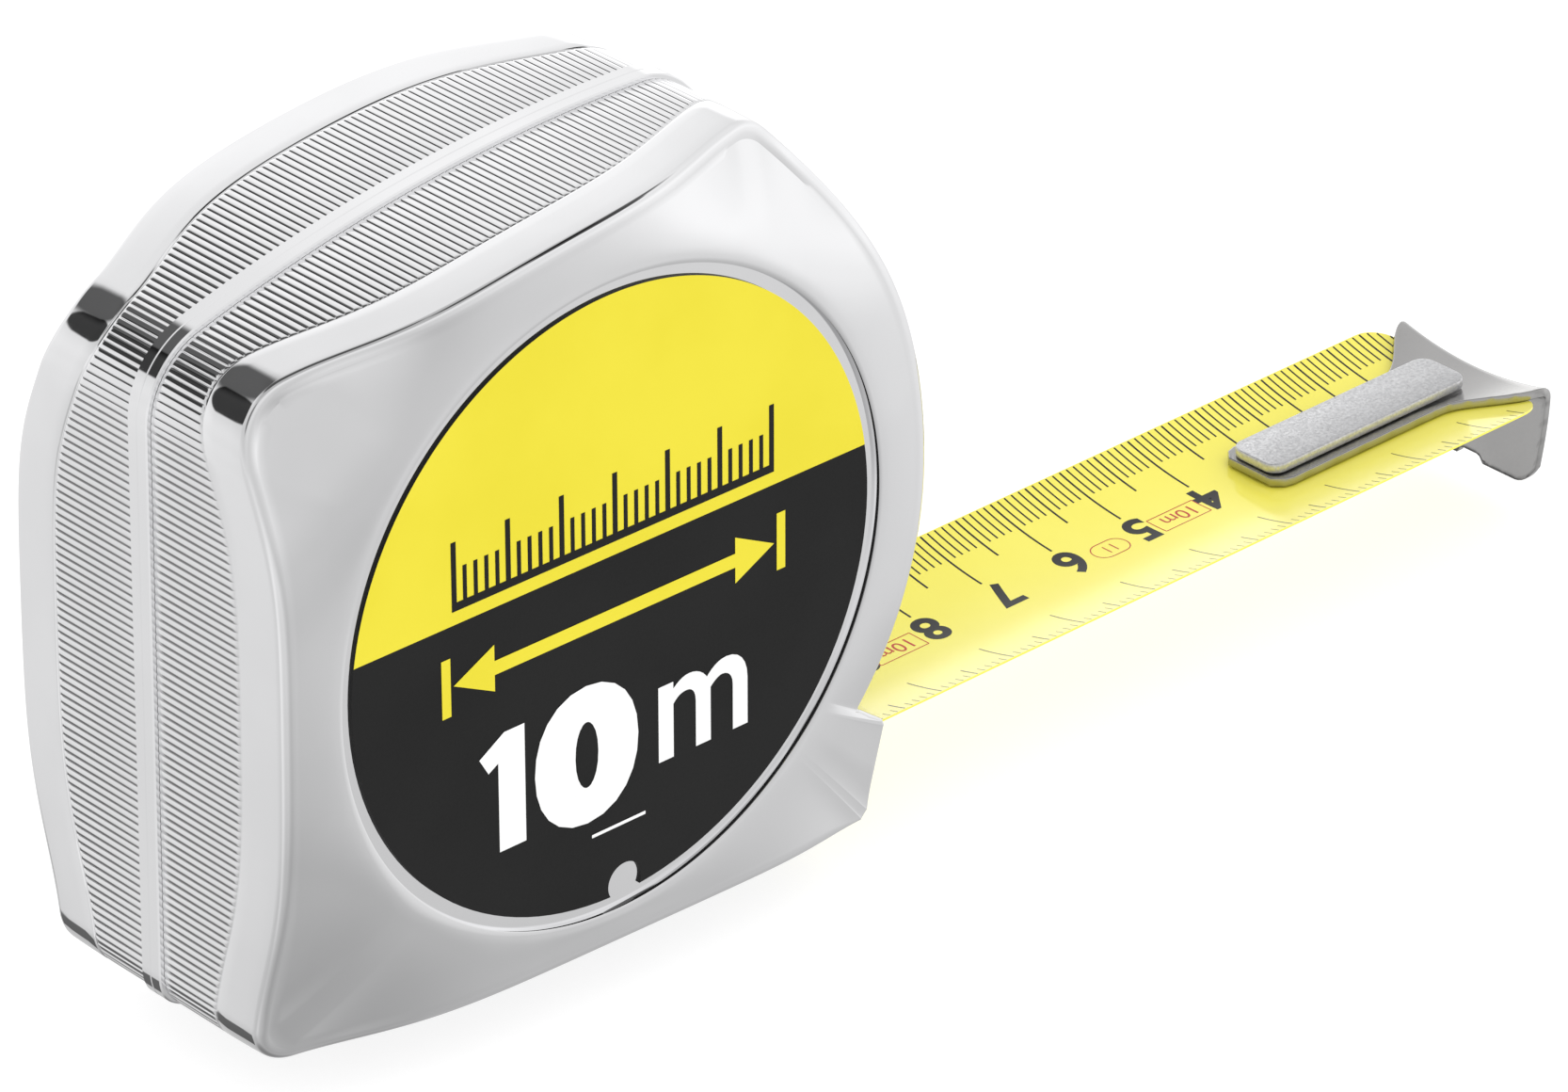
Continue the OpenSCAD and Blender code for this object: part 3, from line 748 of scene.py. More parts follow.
    def _face_columns(self, run: np.ndarray, edge: np.ndarray, edge_y: np.ndarray) -> list[np.ndarray]:
        """Columns of points over the pillowed face and down into the label's recess.

        Args:
            run: Running lengths round the outline.
            edge: Side-view points where the face starts.
            edge_y: Distance of those points from the parting line.

        Returns:
            One array of points for each column.
        """
        centre = np.array([0.0, self.outline.axis_z])
        angle = np.unwrap(np.arctan2(edge[:, 1] - centre[1], edge[:, 0] - centre[0]))
        even = np.linspace(0, self.outline.length, 2049)[:-1]
        start = angle[0]
        whole = np.interp(even, np.append(run, self.outline.length), np.append(angle, start + 2 * math.pi))
        drift = whole - start - even / self.outline.length * 2 * math.pi
        span = np.minimum(even, self.outline.length - even)
        kernel = bell(span, 5.0)
        smooth = np.real(np.fft.ifft(np.fft.fft(drift) * np.fft.fft(kernel / kernel.sum())))
        inner = start + run / self.outline.length * 2 * math.pi
        inner += np.interp(run, even, smooth, period=self.outline.length)
        inner -= math.radians(self.ledge_lean) * bell(self.outline.distance(run, self.outline.lip_run), 6.0)
        ring = np.stack([np.cos(inner), np.sin(inner)], 1)
        far = np.linalg.norm(edge - centre, axis=1)
        columns = []
        for t in np.linspace(1, 0, 17)[1:]:
            start_r = self.recess_radius + 0.2
            spot = (centre + ring * start_r) * (1 - t) + edge * t
            radius = np.linalg.norm(spot - centre, axis=1)
            share = np.clip((radius - self.flat_radius) / (far - self.flat_radius), 0, 1)
            sunk = (self.half_width - edge_y) * share ** self.pillow
            columns.append(self._place(spot, self.half_width - sunk))
        deep = self.half_width - self.recess_depth
        for radius, y in ((self.recess_radius + 0.06, self.half_width - 0.04),
                          (self.recess_radius, self.half_width - 0.2),
                          (self.recess_radius - 0.05, deep), (self.recess_radius - 0.6, deep), (26.0, deep),
                          (13.0, deep), (3.0, deep)):
            columns.append(self._place(centre + ring * radius, np.full_like(run, y)))
        return columns

    def _shell(self) -> bpy.types.Object:
        """Makes the shell, with its mouth, its button slot and, on the left half, its screw bores."""
        run = self.outline.stations(0.9, 3.0)
        edge_columns = self._edge_columns(run)
        roll_columns, edge, edge_y = self._roll_columns(run)
        columns = edge_columns + roll_columns + self._face_columns(run, edge, edge_y)
        points = np.stack(columns, 1)
        rows, count = points.shape[:2]
        faces = grid_faces(rows, count, closed=True)
        spot, _ = self.outline.at(run)
        angle = np.degrees(np.arctan2(spot[:, 1] - self.outline.front_centre[1],
                                      spot[:, 0] - self.outline.front_centre[0]))
        front = spot[:, 0] > 20.0
        mouth = front & (spot[:, 1] > self.floor_z) & (spot[:, 1] < self.outline.lip_z + 0.2)
        slot = front & (angle > self.slot_angles[0]) & (angle < self.slot_angles[1])
        kept = []
        for number, face in enumerate(faces):
            row, column = divmod(number, count - 1)
            after = (row + 1) % rows
            if (mouth[row] and mouth[after] and column < 10) or (slot[row] and slot[after] and column < 5):
                continue
            kept.append(face)
        kept.append(tuple(i * count + count - 1 for i in range(rows)))
        shell = mesh_object(f"case_shell_{self.side.name.lower()}", points.reshape(-1, 3), kept)
        outward(shell)
        if self.side is Side.LEFT:
            for place_at in self._screw_spots():
                self._bore(shell, place_at)
        thicken(shell, self.wall)
        shell.modifiers["thickness"].use_even_offset = False
        freeze(shell, 32.0)
        return shell

    def _screw_spots(self) -> list[np.ndarray]:
        """Side-view places of the three case screws, from their CAD node."""
        screws = frame["nodes"]["case_screws"].data.vertices
        spots = np.array([(v.co.x, v.co.z) for v in screws]) / MM
        made = []
        for spot in spots:
            if all(np.linalg.norm(spot - spots[other]) > 8.0 for other in made):
                made.append(int(np.where((spots == spot).all(1))[0][0]))
        return [spots[np.linalg.norm(spots - spots[i], axis=1) < 8.0].mean(0) for i in made]

    def _bore(self, shell: bpy.types.Object, spot: np.ndarray) -> None:
        """Sinks a round screw bore into the face.

        Args:
            shell: The shell before it has a thickness.
            spot: Side-view place of the screw.
        """
        work = bmesh.new()
        work.from_mesh(shell.data)
        radius = self.screw_radius * MM
        middle = Vector((spot[0] * MM, 0.0, spot[1] * MM))

        def apart(co: Vector) -> float:
            """Distance of a point from the bore's line."""
            return math.hypot(co.x - middle.x, co.z - middle.z)

        inside = [f for f in work.faces if apart(f.calc_center_median()) < radius and len(f.verts) < 9
                  and abs(f.calc_center_median().y) > 8 * MM]
        bmesh.ops.delete(work, geom=inside, context="FACES")
        rim = [e for e in work.edges if e.is_boundary and all(apart(v.co) < radius * 1.6 for v in e.verts)
               and abs(e.verts[0].co.y) > 8 * MM]
        for vert in {v for e in rim for v in e.verts}:
            scale = radius / apart(vert.co)
            vert.co.x = middle.x + (vert.co.x - middle.x) * scale
            vert.co.z = middle.z + (vert.co.z - middle.z) * scale
        tube = bmesh.ops.extrude_edge_only(work, edges=rim)["geom"]
        for vert in [g for g in tube if isinstance(g, bmesh.types.BMVert)]:
            vert.co.y -= self.side.value * self.bore_depth * MM
        work.normal_update()
        work.to_mesh(shell.data)
        work.free()

    def _ribs(self) -> bpy.types.Object:
        """Makes the fine ribs across the edge, each with a rounded end."""
        per_rib = np.array([(0.0, -1.0), (0.07, -0.4), (0.17, -0.04),
                            (0.5, 0.0), (0.83, -0.04), (0.93, -0.4)])
        count = int(self.outline.length / self.rib_pitch)
        pitch = self.outline.length / count
        run = ((np.arange(count)[:, None] + per_rib[:, 0][None]) * pitch).ravel()
        high = np.tile(per_rib[:, 1] * self.rib_depth, count)
        spot, out = self.outline.at(run)
        end = self.rib_end(run)
        start = np.full_like(run, self.bead_half + 0.08)
        columns = []
        for base, step, share in ((start, 0.0, 0.9), (start, 0.1, 1.0), ((start + end) / 2, 0.0, 1.0),
                                  (end, -0.55, 1.0), (end, -0.32, 0.9), (end, -0.12, 0.6), (end, 0.0, 0.0)):
            level = -self.trough + (self.trough + high) * share
            columns.append(self._place(spot + level[:, None] * out, base + step))
        points = np.stack(columns, 1)
        rows, width = points.shape[:2]
        on = self.ribbed(run) > 0.5
        faces = [face for number, face in enumerate(grid_faces(rows, width, closed=True))
                 if on[number // (width - 1)] and on[(number // (width - 1) + 1) % rows]]
        ribs = mesh_object(f"case_ribs_{self.side.name.lower()}", points.reshape(-1, 3), faces, 50.0)
        work = bmesh.new()
        work.from_mesh(ribs.data)
        bmesh.ops.delete(work, geom=[v for v in work.verts if not v.link_faces], context="VERTS")
        work.to_mesh(ribs.data)
        work.free()
        outward(ribs)
        return ribs


# ---------------------------------------------------------------- labels and lettering


def figure_shapes(text: str, height: float, bold: float = 0.0) -> tuple[np.ndarray, list[tuple[int, ...]]]:
    """Flat filled outlines of plain figures, centred left to right and standing on y = 0.

    Args:
        text: The figures to draw.
        height: Height of a figure in millimetres.
        bold: How far the strokes are widened, as a share of the height.

    Returns:
        Points in millimetres and their faces.
    """
    curve = bpy.data.curves.new("figures", "FONT")
    curve.body = text
    curve.offset = bold
    curve.resolution_u = 6
    holder = bpy.data.objects.new("figures", curve)
    bpy.context.scene.collection.objects.link(holder)
    mesh = bpy.data.meshes.new_from_object(holder.evaluated_get(bpy.context.evaluated_depsgraph_get()))
    bpy.data.objects.remove(holder)
    points = np.array([v.co[:2] for v in mesh.vertices])
    faces = [tuple(p.vertices) for p in mesh.polygons]
    tall = 0.7
    points *= height / tall
    points[:, 0] -= (points[:, 0].min() + points[:, 0].max()) / 2
    return points, faces


class FlatPrint:
    """Collects flat printed shapes, which are then laid on a surface as one thin mesh."""

    def __init__(self) -> None:
        """Starts with nothing printed."""
        self.points: list[np.ndarray] = []
        self.faces: list[tuple[int, ...]] = []
        self.count = 0

    def shape(self, points: np.ndarray, faces: list[tuple[int, ...]]) -> None:
        """Adds a shape made of faces."""
        self.faces += [tuple(i + self.count for i in face) for face in faces]
        self.points.append(np.asarray(points, float))
        self.count += len(points)

    def outline(self, points: list) -> None:
        """Adds one filled outline."""
        self.shape(np.array(points, float), [tuple(range(len(points)))])

    def bar(self, start: tuple[float, float], end: tuple[float, float], width: float,
            pieces: int = 1) -> None:
        """Adds a straight bar of a width, cut into pieces along its length.

        Args:
            start: Middle of one end.
            end: Middle of the other end.
            width: Width in millimetres.
            pieces: Number of pieces.
        """
        a, b = np.array(start, float), np.array(end, float)
        side = np.array([a[1] - b[1], b[0] - a[0]]) / np.linalg.norm(b - a) * width / 2
        t = np.linspace(0, 1, pieces + 1)[:, None]
        line = a * (1 - t) + b * t
        points = np.stack([line - side, line + side], 1).reshape(-1, 2)
        self.shape(points, [(2 * i, 2 * i + 2, 2 * i + 3, 2 * i + 1) for i in range(pieces)])

    def frame_line(self, centre: tuple[float, float], size: tuple[float, float], radius: float,
                   width: float) -> None:
        """Adds a thin rectangle with round corners, drawn as a line.

        Args:
            centre: Middle of the rectangle.
            size: Its length and height.
            radius: Radius of its corners.
            width: Width of the line.
        """
        rings = []
        for grow in (-width / 2, width / 2):
            ring = []
            for quarter, (sx, sy) in enumerate(((1, 1), (-1, 1), (-1, -1), (1, -1))):
                for a in np.radians(np.linspace(quarter * 90, quarter * 90 + 90, 7)):
                    ring.append((centre[0] + sx * (size[0] / 2 - radius) + (radius + grow) * math.cos(a),
                                 centre[1] + sy * (size[1] / 2 - radius) + (radius + grow) * math.sin(a)))
            rings.append(ring)
        n = len(rings[0])
        self.shape(np.array(rings[0] + rings[1]),
                   [(i, (i + 1) % n, n + (i + 1) % n, n + i) for i in range(n)])

    def mesh(self, name: str, lay: Lay, longest: float = 0.0) -> bpy.types.Object:
        """Lays everything printed on a surface.

        Args:
            name: Name of the piece.
            lay: Function from plane points to space points in millimetres.
            longest: Longest edge that is left whole, in millimetres, or 0 for any length.

        Returns:
            The new piece.
        """
        flat = np.vstack(self.points)
        work = bmesh.new()
        verts = [work.verts.new((x, y, 0.0)) for x, y in flat]
        for face in self.faces:
            work.faces.new([verts[i] for i in face])
        if longest:
            bmesh.ops.triangulate(work, faces=work.faces)
            for _ in range(3):
                long = [e for e in work.edges if e.calc_length() > longest]
                bmesh.ops.subdivide_edges(work, edges=long, cuts=1)
                bmesh.ops.triangulate(work, faces=work.faces)
        flat = np.array([v.co[:2] for v in work.verts])
        work.verts.index_update()
        faces = [tuple(v.index for v in f.verts) for f in work.faces]
        work.free()
        return mesh_object(name, lay(flat), faces)


@dataclass
class RoundLabel:
    """Print on the two round labels: yellow over black, with a scale, an arrow and the length."""

    side: Side
    radius: float = 32.3
    split_rise: float = 4.87
    tilt: float = 1.1
    ink: float = 0.02

    def __post_init__(self) -> None:
        """Finds the label's face and centre from its CAD node."""
        self.node = f"label_{self.side.name.lower()}"
        low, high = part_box(self.node)
        self.face_y = (low.y if self.side is Side.RIGHT else high.y) / MM
        self.centre = np.array([(low.x + high.x) / 2, (low.z + high.z) / 2]) / MM

    def lay(self, lift: float) -> Lay:
        """Function that puts plane points on the label, lifted off its face."""
        y = self.face_y + self.side.value * lift
        mirror = -self.side.value

        def put(flat: np.ndarray) -> np.ndarray:
            """Plane points to points in space."""
            spot = turned(flat, self.tilt) * (mirror, 1.0) + self.centre
            return np.stack([spot[:, 0], np.full(len(spot), y), spot[:, 1]], 1)

        return put

    def build(self, paints: Paints) -> None:
        """Dresses the label and prints on it."""
        node = frame["nodes"][self.node]
        dress(node, paints["label_black"])
        name = self.side.name.lower()
        for piece, finish, lift in ((self._field(), "label_yellow", self.ink),
                                    (self._scale(), "label_black", 2 * self.ink),
                                    (self._arrow(), "label_yellow", 2 * self.ink),
                                    (self._length(), "label_white", 2 * self.ink)):
            made = piece[1].mesh(f"label_{piece[0]}_{name}", self.lay(lift))
            place(made, "case", "label", paints[finish])

    def _field(self) -> tuple[str, FlatPrint]:
        """The yellow part above the split line."""
        half = math.degrees(math.asin(self.split_rise / self.radius))
        sheet = FlatPrint()
        sheet.outline([(self.radius * math.cos(a), self.radius * math.sin(a))
                       for a in np.radians(np.linspace(half, 180.0 - half, 121))])
        return "field", sheet

    def _scale(self) -> tuple[str, FlatPrint]:
        """A short scale that stands on the split line."""
        sheet = FlatPrint()
        foot, step = self.split_rise + 2.3, 1.32
        for i in range(-15, 16):
            tall = 6.4 if i % 5 == 0 else 3.6
            sheet.bar((i * step, foot), (i * step, foot + tall), 0.62 if i % 5 == 0 else 0.5)
        sheet.bar((-15 * step - 0.31, foot - 0.45), (15 * step + 0.31, foot - 0.45), 0.9)
        return "scale", sheet

    def _arrow(self) -> tuple[str, FlatPrint]:
        """An arrow with two heads between end stops."""
        sheet = FlatPrint()
        y, reach, head, tall = self.split_rise - 6.4, 21.0, 5.0, 2.5
        sheet.bar((head + 0.9 - reach, y), (reach - head - 0.9, y), 1.5)
        for s in (-1, 1):
            sheet.outline([(s * (reach - 0.9), y), (s * (reach - 0.9 - head), y + s * tall),
                           (s * (reach - 0.9 - head), y - s * tall)])
            sheet.bar((s * reach, y - tall - 0.6), (s * reach, y + tall + 0.6), 1.1)
        return "arrow", sheet

    def _length(self) -> tuple[str, FlatPrint]:
        """The length of the blade in metres, in plain figures."""
        sheet = FlatPrint()
        sheet.outline([(-11.6, -21.6), (-11.6, -8.8), (-14.1, -8.8), (-17.2, -10.7), (-16.1, -12.6),
                       (-14.9, -11.9), (-14.9, -21.6)])
        for text, height, bold, wide, x, y in (("0", 12.8, 0.06, 1.27, -3.9, -21.6),
                                               ("m", 12.2, 0.012, 0.97, 10.9, -19.7)):
            points, faces = figure_shapes(text, height, bold)
            sheet.shape(points * (wide, 1.0) + (x, y), faces)
        sheet.bar((-3.4, -24.6), (3.4, -24.6), 0.35)
        return "length", sheet


# ---------------------------------------------------------------- blade and hook


@dataclass
class BladeFrame:
    """Where the blade leaves the mouth: u runs along it, v across and w up."""

    mouth_set: float = 3.0
    height: float = 4.0
    rise: float = 1.5
    hollow: float = 40.0

    def __post_init__(self) -> None:
        """Finds the mouth line from the case."""
        self.mouth_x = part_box("case_right")[1].x / MM - self.mouth_set

    @property
    def along(self) -> Vector:
        """Direction of the blade."""
        return Vector((math.cos(math.radians(self.rise)), 0.0, math.sin(math.radians(self.rise))))

    def space(self, points: np.ndarray) -> np.ndarray:
        """Points along, across and above the blade taken to the case's frame, in millimetres."""
        c, s = math.cos(math.radians(self.rise)), math.sin(math.radians(self.rise))
        u, v, w = points[:, 0], points[:, 1], points[:, 2]
        return np.stack([self.mouth_x + u * c - w * s, v, self.height + u * s + w * c], 1)

    def sag(self, v: np.ndarray, radius: float | None = None) -> np.ndarray:
        """Height of the hollow curve at a distance from the centre line."""
        r = radius or self.hollow
        return self.hollow - np.sqrt(r * r - np.square(v))

    def lay(self, lift: float) -> Lay:
        """Function that puts plane points (u, arc across) on the blade's upper side."""

        def put(flat: np.ndarray) -> np.ndarray:
            """Plane points to points in space."""
            a = flat[:, 1] / self.hollow
            r = self.hollow - lift
            return self.space(np.stack([flat[:, 0], r * np.sin(a), self.hollow - r * np.cos(a)], 1))

        return put


@dataclass
class Blade:
    """The curved steel blade, its stiff end, the run under the reel, and its print."""

    frame: BladeFrame
    width: float = 25.0
    thickness: float = 0.2
    out: float = 102.4
    tip_gap: float = 1.4
    tip_length: float = 37.0
    corner: float = 4.0
    back: float = -8.0
    ink: float = 0.012
    travel: float = 101.3
    fold_u: float = -38.0
    tick: float = 4.4
    half_tick: float = 6.6
    whole_tick: float = 9.4
    figure: float = 4.4

    def __post_init__(self) -> None:
        """Works out where the stiff end starts and stops."""
        self.tip_end = self.out - self.tip_gap
        self.tip_start = self.tip_end - self.tip_length
        self.reading_split = self.out - self.tip_start

    def build(self, paints: Paints) -> None:
        """Makes the blade's pieces and prints on them."""
        tip = self._strip("blade_end", np.append(np.linspace(self.tip_start, self.tip_end - self.corner, 24),
                                                 self._corner_stops()))
        place(tip, "blade_end", "yellow_blade", paints["blade_yellow"], ("blade_tip",))
        run = self._strip("blade_run", np.linspace(self.back, self.tip_start, 30))
        place(run, "case", "yellow_blade", paints["blade_yellow"], ("blade",))
        self._shorten(run)
        lead = self._lead()
        place(lead, "case", "yellow_blade", paints["blade_yellow"], ("blade_lead",))
        self._shorten(lead)
        for name, body, low, high in (("end", "blade_end", 0.0, self.reading_split),
                                      ("run", "case", self.reading_split, self.out - self.back)):
            for ink, sheet in (("ink", self._black(low, high)), ("red", self._red(low, high))):
                if not sheet.faces:
                    continue
                piece = sheet.mesh(f"blade_{name}_{ink}", self.frame.lay(self.thickness / 2 + self.ink), 0.9)
                place(piece, body, "yellow_blade", paints[f"blade_{ink}"])
                if body == "case":
                    self._shorten(piece)

    def _shorten(self, piece: bpy.types.Object) -> None:
        """Gives a piece its own copy of its mesh; the anchor at the fold is worked out but not used."""
        anchor = self.frame.space(np.array([[self.fold_u, 0.0, 0.0]]))[0] * MM
        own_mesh(piece)

    def _corner_stops(self) -> np.ndarray:
        """Places along the round corners at the blade's end."""
        return self.tip_end - self.corner * (1 - np.sin(np.radians(np.linspace(9, 90, 10))))

    def _strip(self, name: str, stops: np.ndarray) -> bpy.types.Object:
        """Curved strip with a thickness, narrowed by its round corners near the end.

        Args:
            name: Name of the piece.
            stops: Places along the blade in millimetres.

        Returns:
            The new piece.
        """
        over = np.clip(stops - (self.tip_end - self.corner), 0, self.corner)
        half = self.width / 2 - self.corner + np.sqrt(np.maximum(self.corner ** 2 - over ** 2, 0.0))
        across = np.linspace(-1, 1, 33)
        rows = []
        for lift in (-self.thickness / 2, self.thickness / 2):
            arc = half[:, None] * across
            flat = np.stack([np.repeat(stops, len(across)), arc.ravel()], 1)
            rows.append(self.frame.lay(lift)(flat))
        count, n = len(stops), len(across)
        lower = grid_faces(count, n, closed=False)
        upper = [tuple(reversed(face)) for face in grid_faces(count, n, False, count * n)]
        loop = ([i for i in range(n)] + [i * n + n - 1 for i in range(1, count)]
                + [(count - 1) * n + i for i in range(n - 2, -1, -1)]
                + [i * n for i in range(count - 2, 0, -1)])
        edge = [(a, b, b + count * n, a + count * n) for a, b in zip(loop, loop[1:] + loop[:1])]
        strip = mesh_object(name, np.vstack(rows), lower + upper + edge, 40.0)
        outward(strip)
        return strip

    def _lead(self) -> bpy.types.Object:
        """The flat stretch of blade under the reel, from its CAD node's box."""
        low, high = (np.array(corner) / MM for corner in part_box("blade_lead"))
        stops = np.linspace(0, 1, 12)
        points = []
        for t in stops:
            x, z = low[0] + (high[0] - low[0]) * t, high[2] + (low[2] + self.thickness - high[2]) * t
            for y, down in ((low[1], 0), (high[1], 0), (high[1], self.thickness), (low[1], self.thickness)):
                points.append((x, y, z - down))
        faces = [(4 * i + k, 4 * i + (k + 1) % 4, 4 * i + 4 + (k + 1) % 4, 4 * i + 4 + k)
                 for i in range(len(stops) - 1) for k in range(4)]
        faces += [(0, 1, 2, 3), tuple(4 * (len(stops) - 1) + k for k in (3, 2, 1, 0))]
        lead = mesh_object("blade_under_reel", np.array(points), faces)
        outward(lead)
        return lead

    def _black(self, low: float, high: float) -> FlatPrint:
        """Black graduations and figures between two readings in millimetres.

        Args:
            low: First reading.
            high: Reading where the print ends.

        Returns:
            The flat print.
        """
        sheet = FlatPrint()
        edge = self.width / 2 - 0.15
        for reading in range(2, int(self.out - self.back)):
            if not low <= reading < high:
                continue
            whole, half = reading % 10 == 0, reading % 5 == 0
            long = self.whole_tick if whole else self.half_tick if half else self.tick
            u = self.out - reading
            over = max(0.0, u - self.tip_end + self.corner)
            top = edge - self.corner + math.sqrt(max(self.corner ** 2 - over ** 2, 0.0))
            if u > self.tip_end - 0.3:
                continue
            sheet.bar((u, top), (u, edge - long), 0.26 if half else 0.22, 4)
            if over > 1.0:
                continue
            if half:
                sheet.bar((u, -edge), (u, -edge + (5.2 if whole else 2.6)), 0.13, 3)
            else:
                sheet.bar((u, -edge), (u, -edge + 1.2), 0.08, 1)
        for whole in range(1, int((self.out - self.back) / 10)):
            if not low <= whole * 10 < high:
                continue
            points, faces = figure_shapes(str(whole), self.figure, 0.03)
            foot = edge - self.whole_tick - 0.9
            sheet.shape((self.out - whole * 10, foot) - points, faces)
        return sheet

    def _red(self, low: float, high: float) -> FlatPrint:
        """Red frames with the blade's length, between the centimetres."""
        sheet = FlatPrint()
        for reading, size, radius in ((45.0, (6.6, 3.0), 0.1), (55.0, (4.6, 2.9), 1.4),
                                      (85.5, (6.6, 3.0), 0.1)):
            if not low <= reading < high:
                continue
            centre = (self.out - reading, -0.6)
            sheet.frame_line(centre, size, radius, 0.13)
            if radius < 1.0:
                points, faces = figure_shapes("10m", 1.9, 0.0)
                sheet.shape(np.add(centre, (0.0, 0.95)) - points, faces)
            else:
                for step in (-0.5, 0.5):
                    x = centre[0] + step
                    sheet.bar((x, centre[1] - 0.75), (x, centre[1] + 0.75), 0.16)
        return sheet


@dataclass
class Hook:
    """The hook at the blade's end: tongue, raised wings, bend and flange, with its cover plate."""

    frame: BladeFrame
    out: float = 102.4
    thickness: float = 1.0
    width: float = 21.0
    drop: float = 10.2
    saddle: float = 9.0
    tongue_width: float = 9.0
    tongue_length: float = 35.0
    bend: float = 1.5
    tongue_lift: float = 0.41
    plate_length: float = 29.5
    plate_width: float = 6.8
    plate_thickness: float = 1.1
    plate_gap: float = 0.15
    plate_set: float = 4.2

    def build(self, paints: Paints) -> None:
        """Makes the hook and its cover plate."""
        hook = self._hook()
        place(hook, "hook", "nickel_steel", paints["bright_nickel"], ("end_hook",))
        plate = self._plate()
        place(plate, "blade_end", "matt_steel", paints["matt_zinc"], ("hook_plate",))

    def _half_width(self, s: np.ndarray) -> np.ndarray:
        """Half of the hook's width at a distance back from its front.

        Args:
            s: Distances in millimetres.

        Returns:
            Half widths in millimetres.
        """
        wing = 1 - ramp(s, 1.0, self.saddle + 1.5) ** 0.85
        tongue = self.tongue_width / 2
        nose = np.clip((s - (self.tongue_length - 2.2)) / 2.2, 0, 1)
        return (tongue + (self.width / 2 - tongue) * wing) * (1 - 0.32 * nose ** 2.5)

    def _hook(self) -> bpy.types.Object:
        """Makes the hook as one bent sheet."""
        front = self.out + self.thickness
        back = np.concatenate([np.linspace(self.tongue_length, 13.0, 22), np.linspace(12.5, self.bend, 24)])
        across = np.linspace(-1, 1, 41)
        rows = []
        lip = self.thickness + self.tongue_lift
        for s in back:
            half = self._half_width(np.array([s]))[0]
            v = across * half
            flat = ramp(np.array([s]), self.saddle, self.saddle + 5.0)[0]
            curved = self.frame.sag(v, self.frame.hollow - 0.2) + self.thickness
            w = curved * (1 - flat) + lip * flat
            u = np.full_like(v, front - s)
            rows.append(np.stack([u, v, w], 1))
        v = across * self.width / 2
        top = self.frame.sag(v, self.frame.hollow - 0.2) + self.thickness
        start_u = front - self.bend
        for a in np.radians((15, 30, 45, 60, 75, 90)):
            rows.append(np.stack([start_u + self.bend * math.sin(a) + 0 * v, v,
                                  top - self.bend + self.bend * math.cos(a)], 1))
        corner = np.clip((np.abs(across) - 0.68) / 0.32, 0, 1)
        notch = ramp(-np.abs(v), -2.0, -1.4)
        foot = -self.drop + 2.4 * corner ** 2.2 + 0.9 * notch
        for t in np.linspace(0, 1, 16)[1:]:
            narrow = 1 - 0.10 * t ** 1.5
            w = (top - self.bend) * (1 - t) + foot * t
            rows.append(np.stack([np.full_like(v, front), v * narrow, w], 1))
        points = np.stack(rows, 0)
        n_rows, n = points.shape[:2]
        hook = mesh_object("hook_steel", self.frame.space(points.reshape(-1, 3)),
                           grid_faces(n_rows, n, False), 60.0)
        outward(hook)
        if hook.data.polygons[len(back) * (n - 1) // 2].normal.z < 0:
            hook.data.flip_normals()
        thicken(hook, self.thickness * 0.95)
        soften(hook, 0.22, 3, 50.0)
        freeze(hook, 60.0)
        return hook

    def _plate(self) -> bpy.types.Object:
        """Makes the cover plate with round corners and a fine chamfer."""
        end = self.out - self.plate_set
        low_w = self.tongue_lift + self.thickness + self.plate_gap
        ring = []
        radius = 1.7
        for quarter, (su, sv) in enumerate(((1, 1), (-1, 1), (-1, -1), (1, -1))):
            centre_u = end - self.plate_length / 2 + su * (self.plate_length / 2 - radius)
            centre_v = sv * (self.plate_width / 2 - radius)
            for a in np.radians(np.linspace(quarter * 90, quarter * 90 + 90, 9)):
                ring.append((centre_u + radius * math.cos(a), centre_v + radius * math.sin(a)))
        n = len(ring)
        points = [(u, v, low_w) for u, v in ring] + [(u, v, low_w + self.plate_thickness) for u, v in ring]
        faces = [tuple(range(n))[::-1], tuple(range(n, 2 * n))]
        faces += [(i, (i + 1) % n, n + (i + 1) % n, n + i) for i in range(n)]
        plate = mesh_object("hook_cover", self.frame.space(np.array(points)), faces)
        outward(plate)
        soften(plate, 0.2, 3, 40.0)
        freeze(plate, 35.0)
        return plate


# ---------------------------------------------------------------- button, clip and carried parts


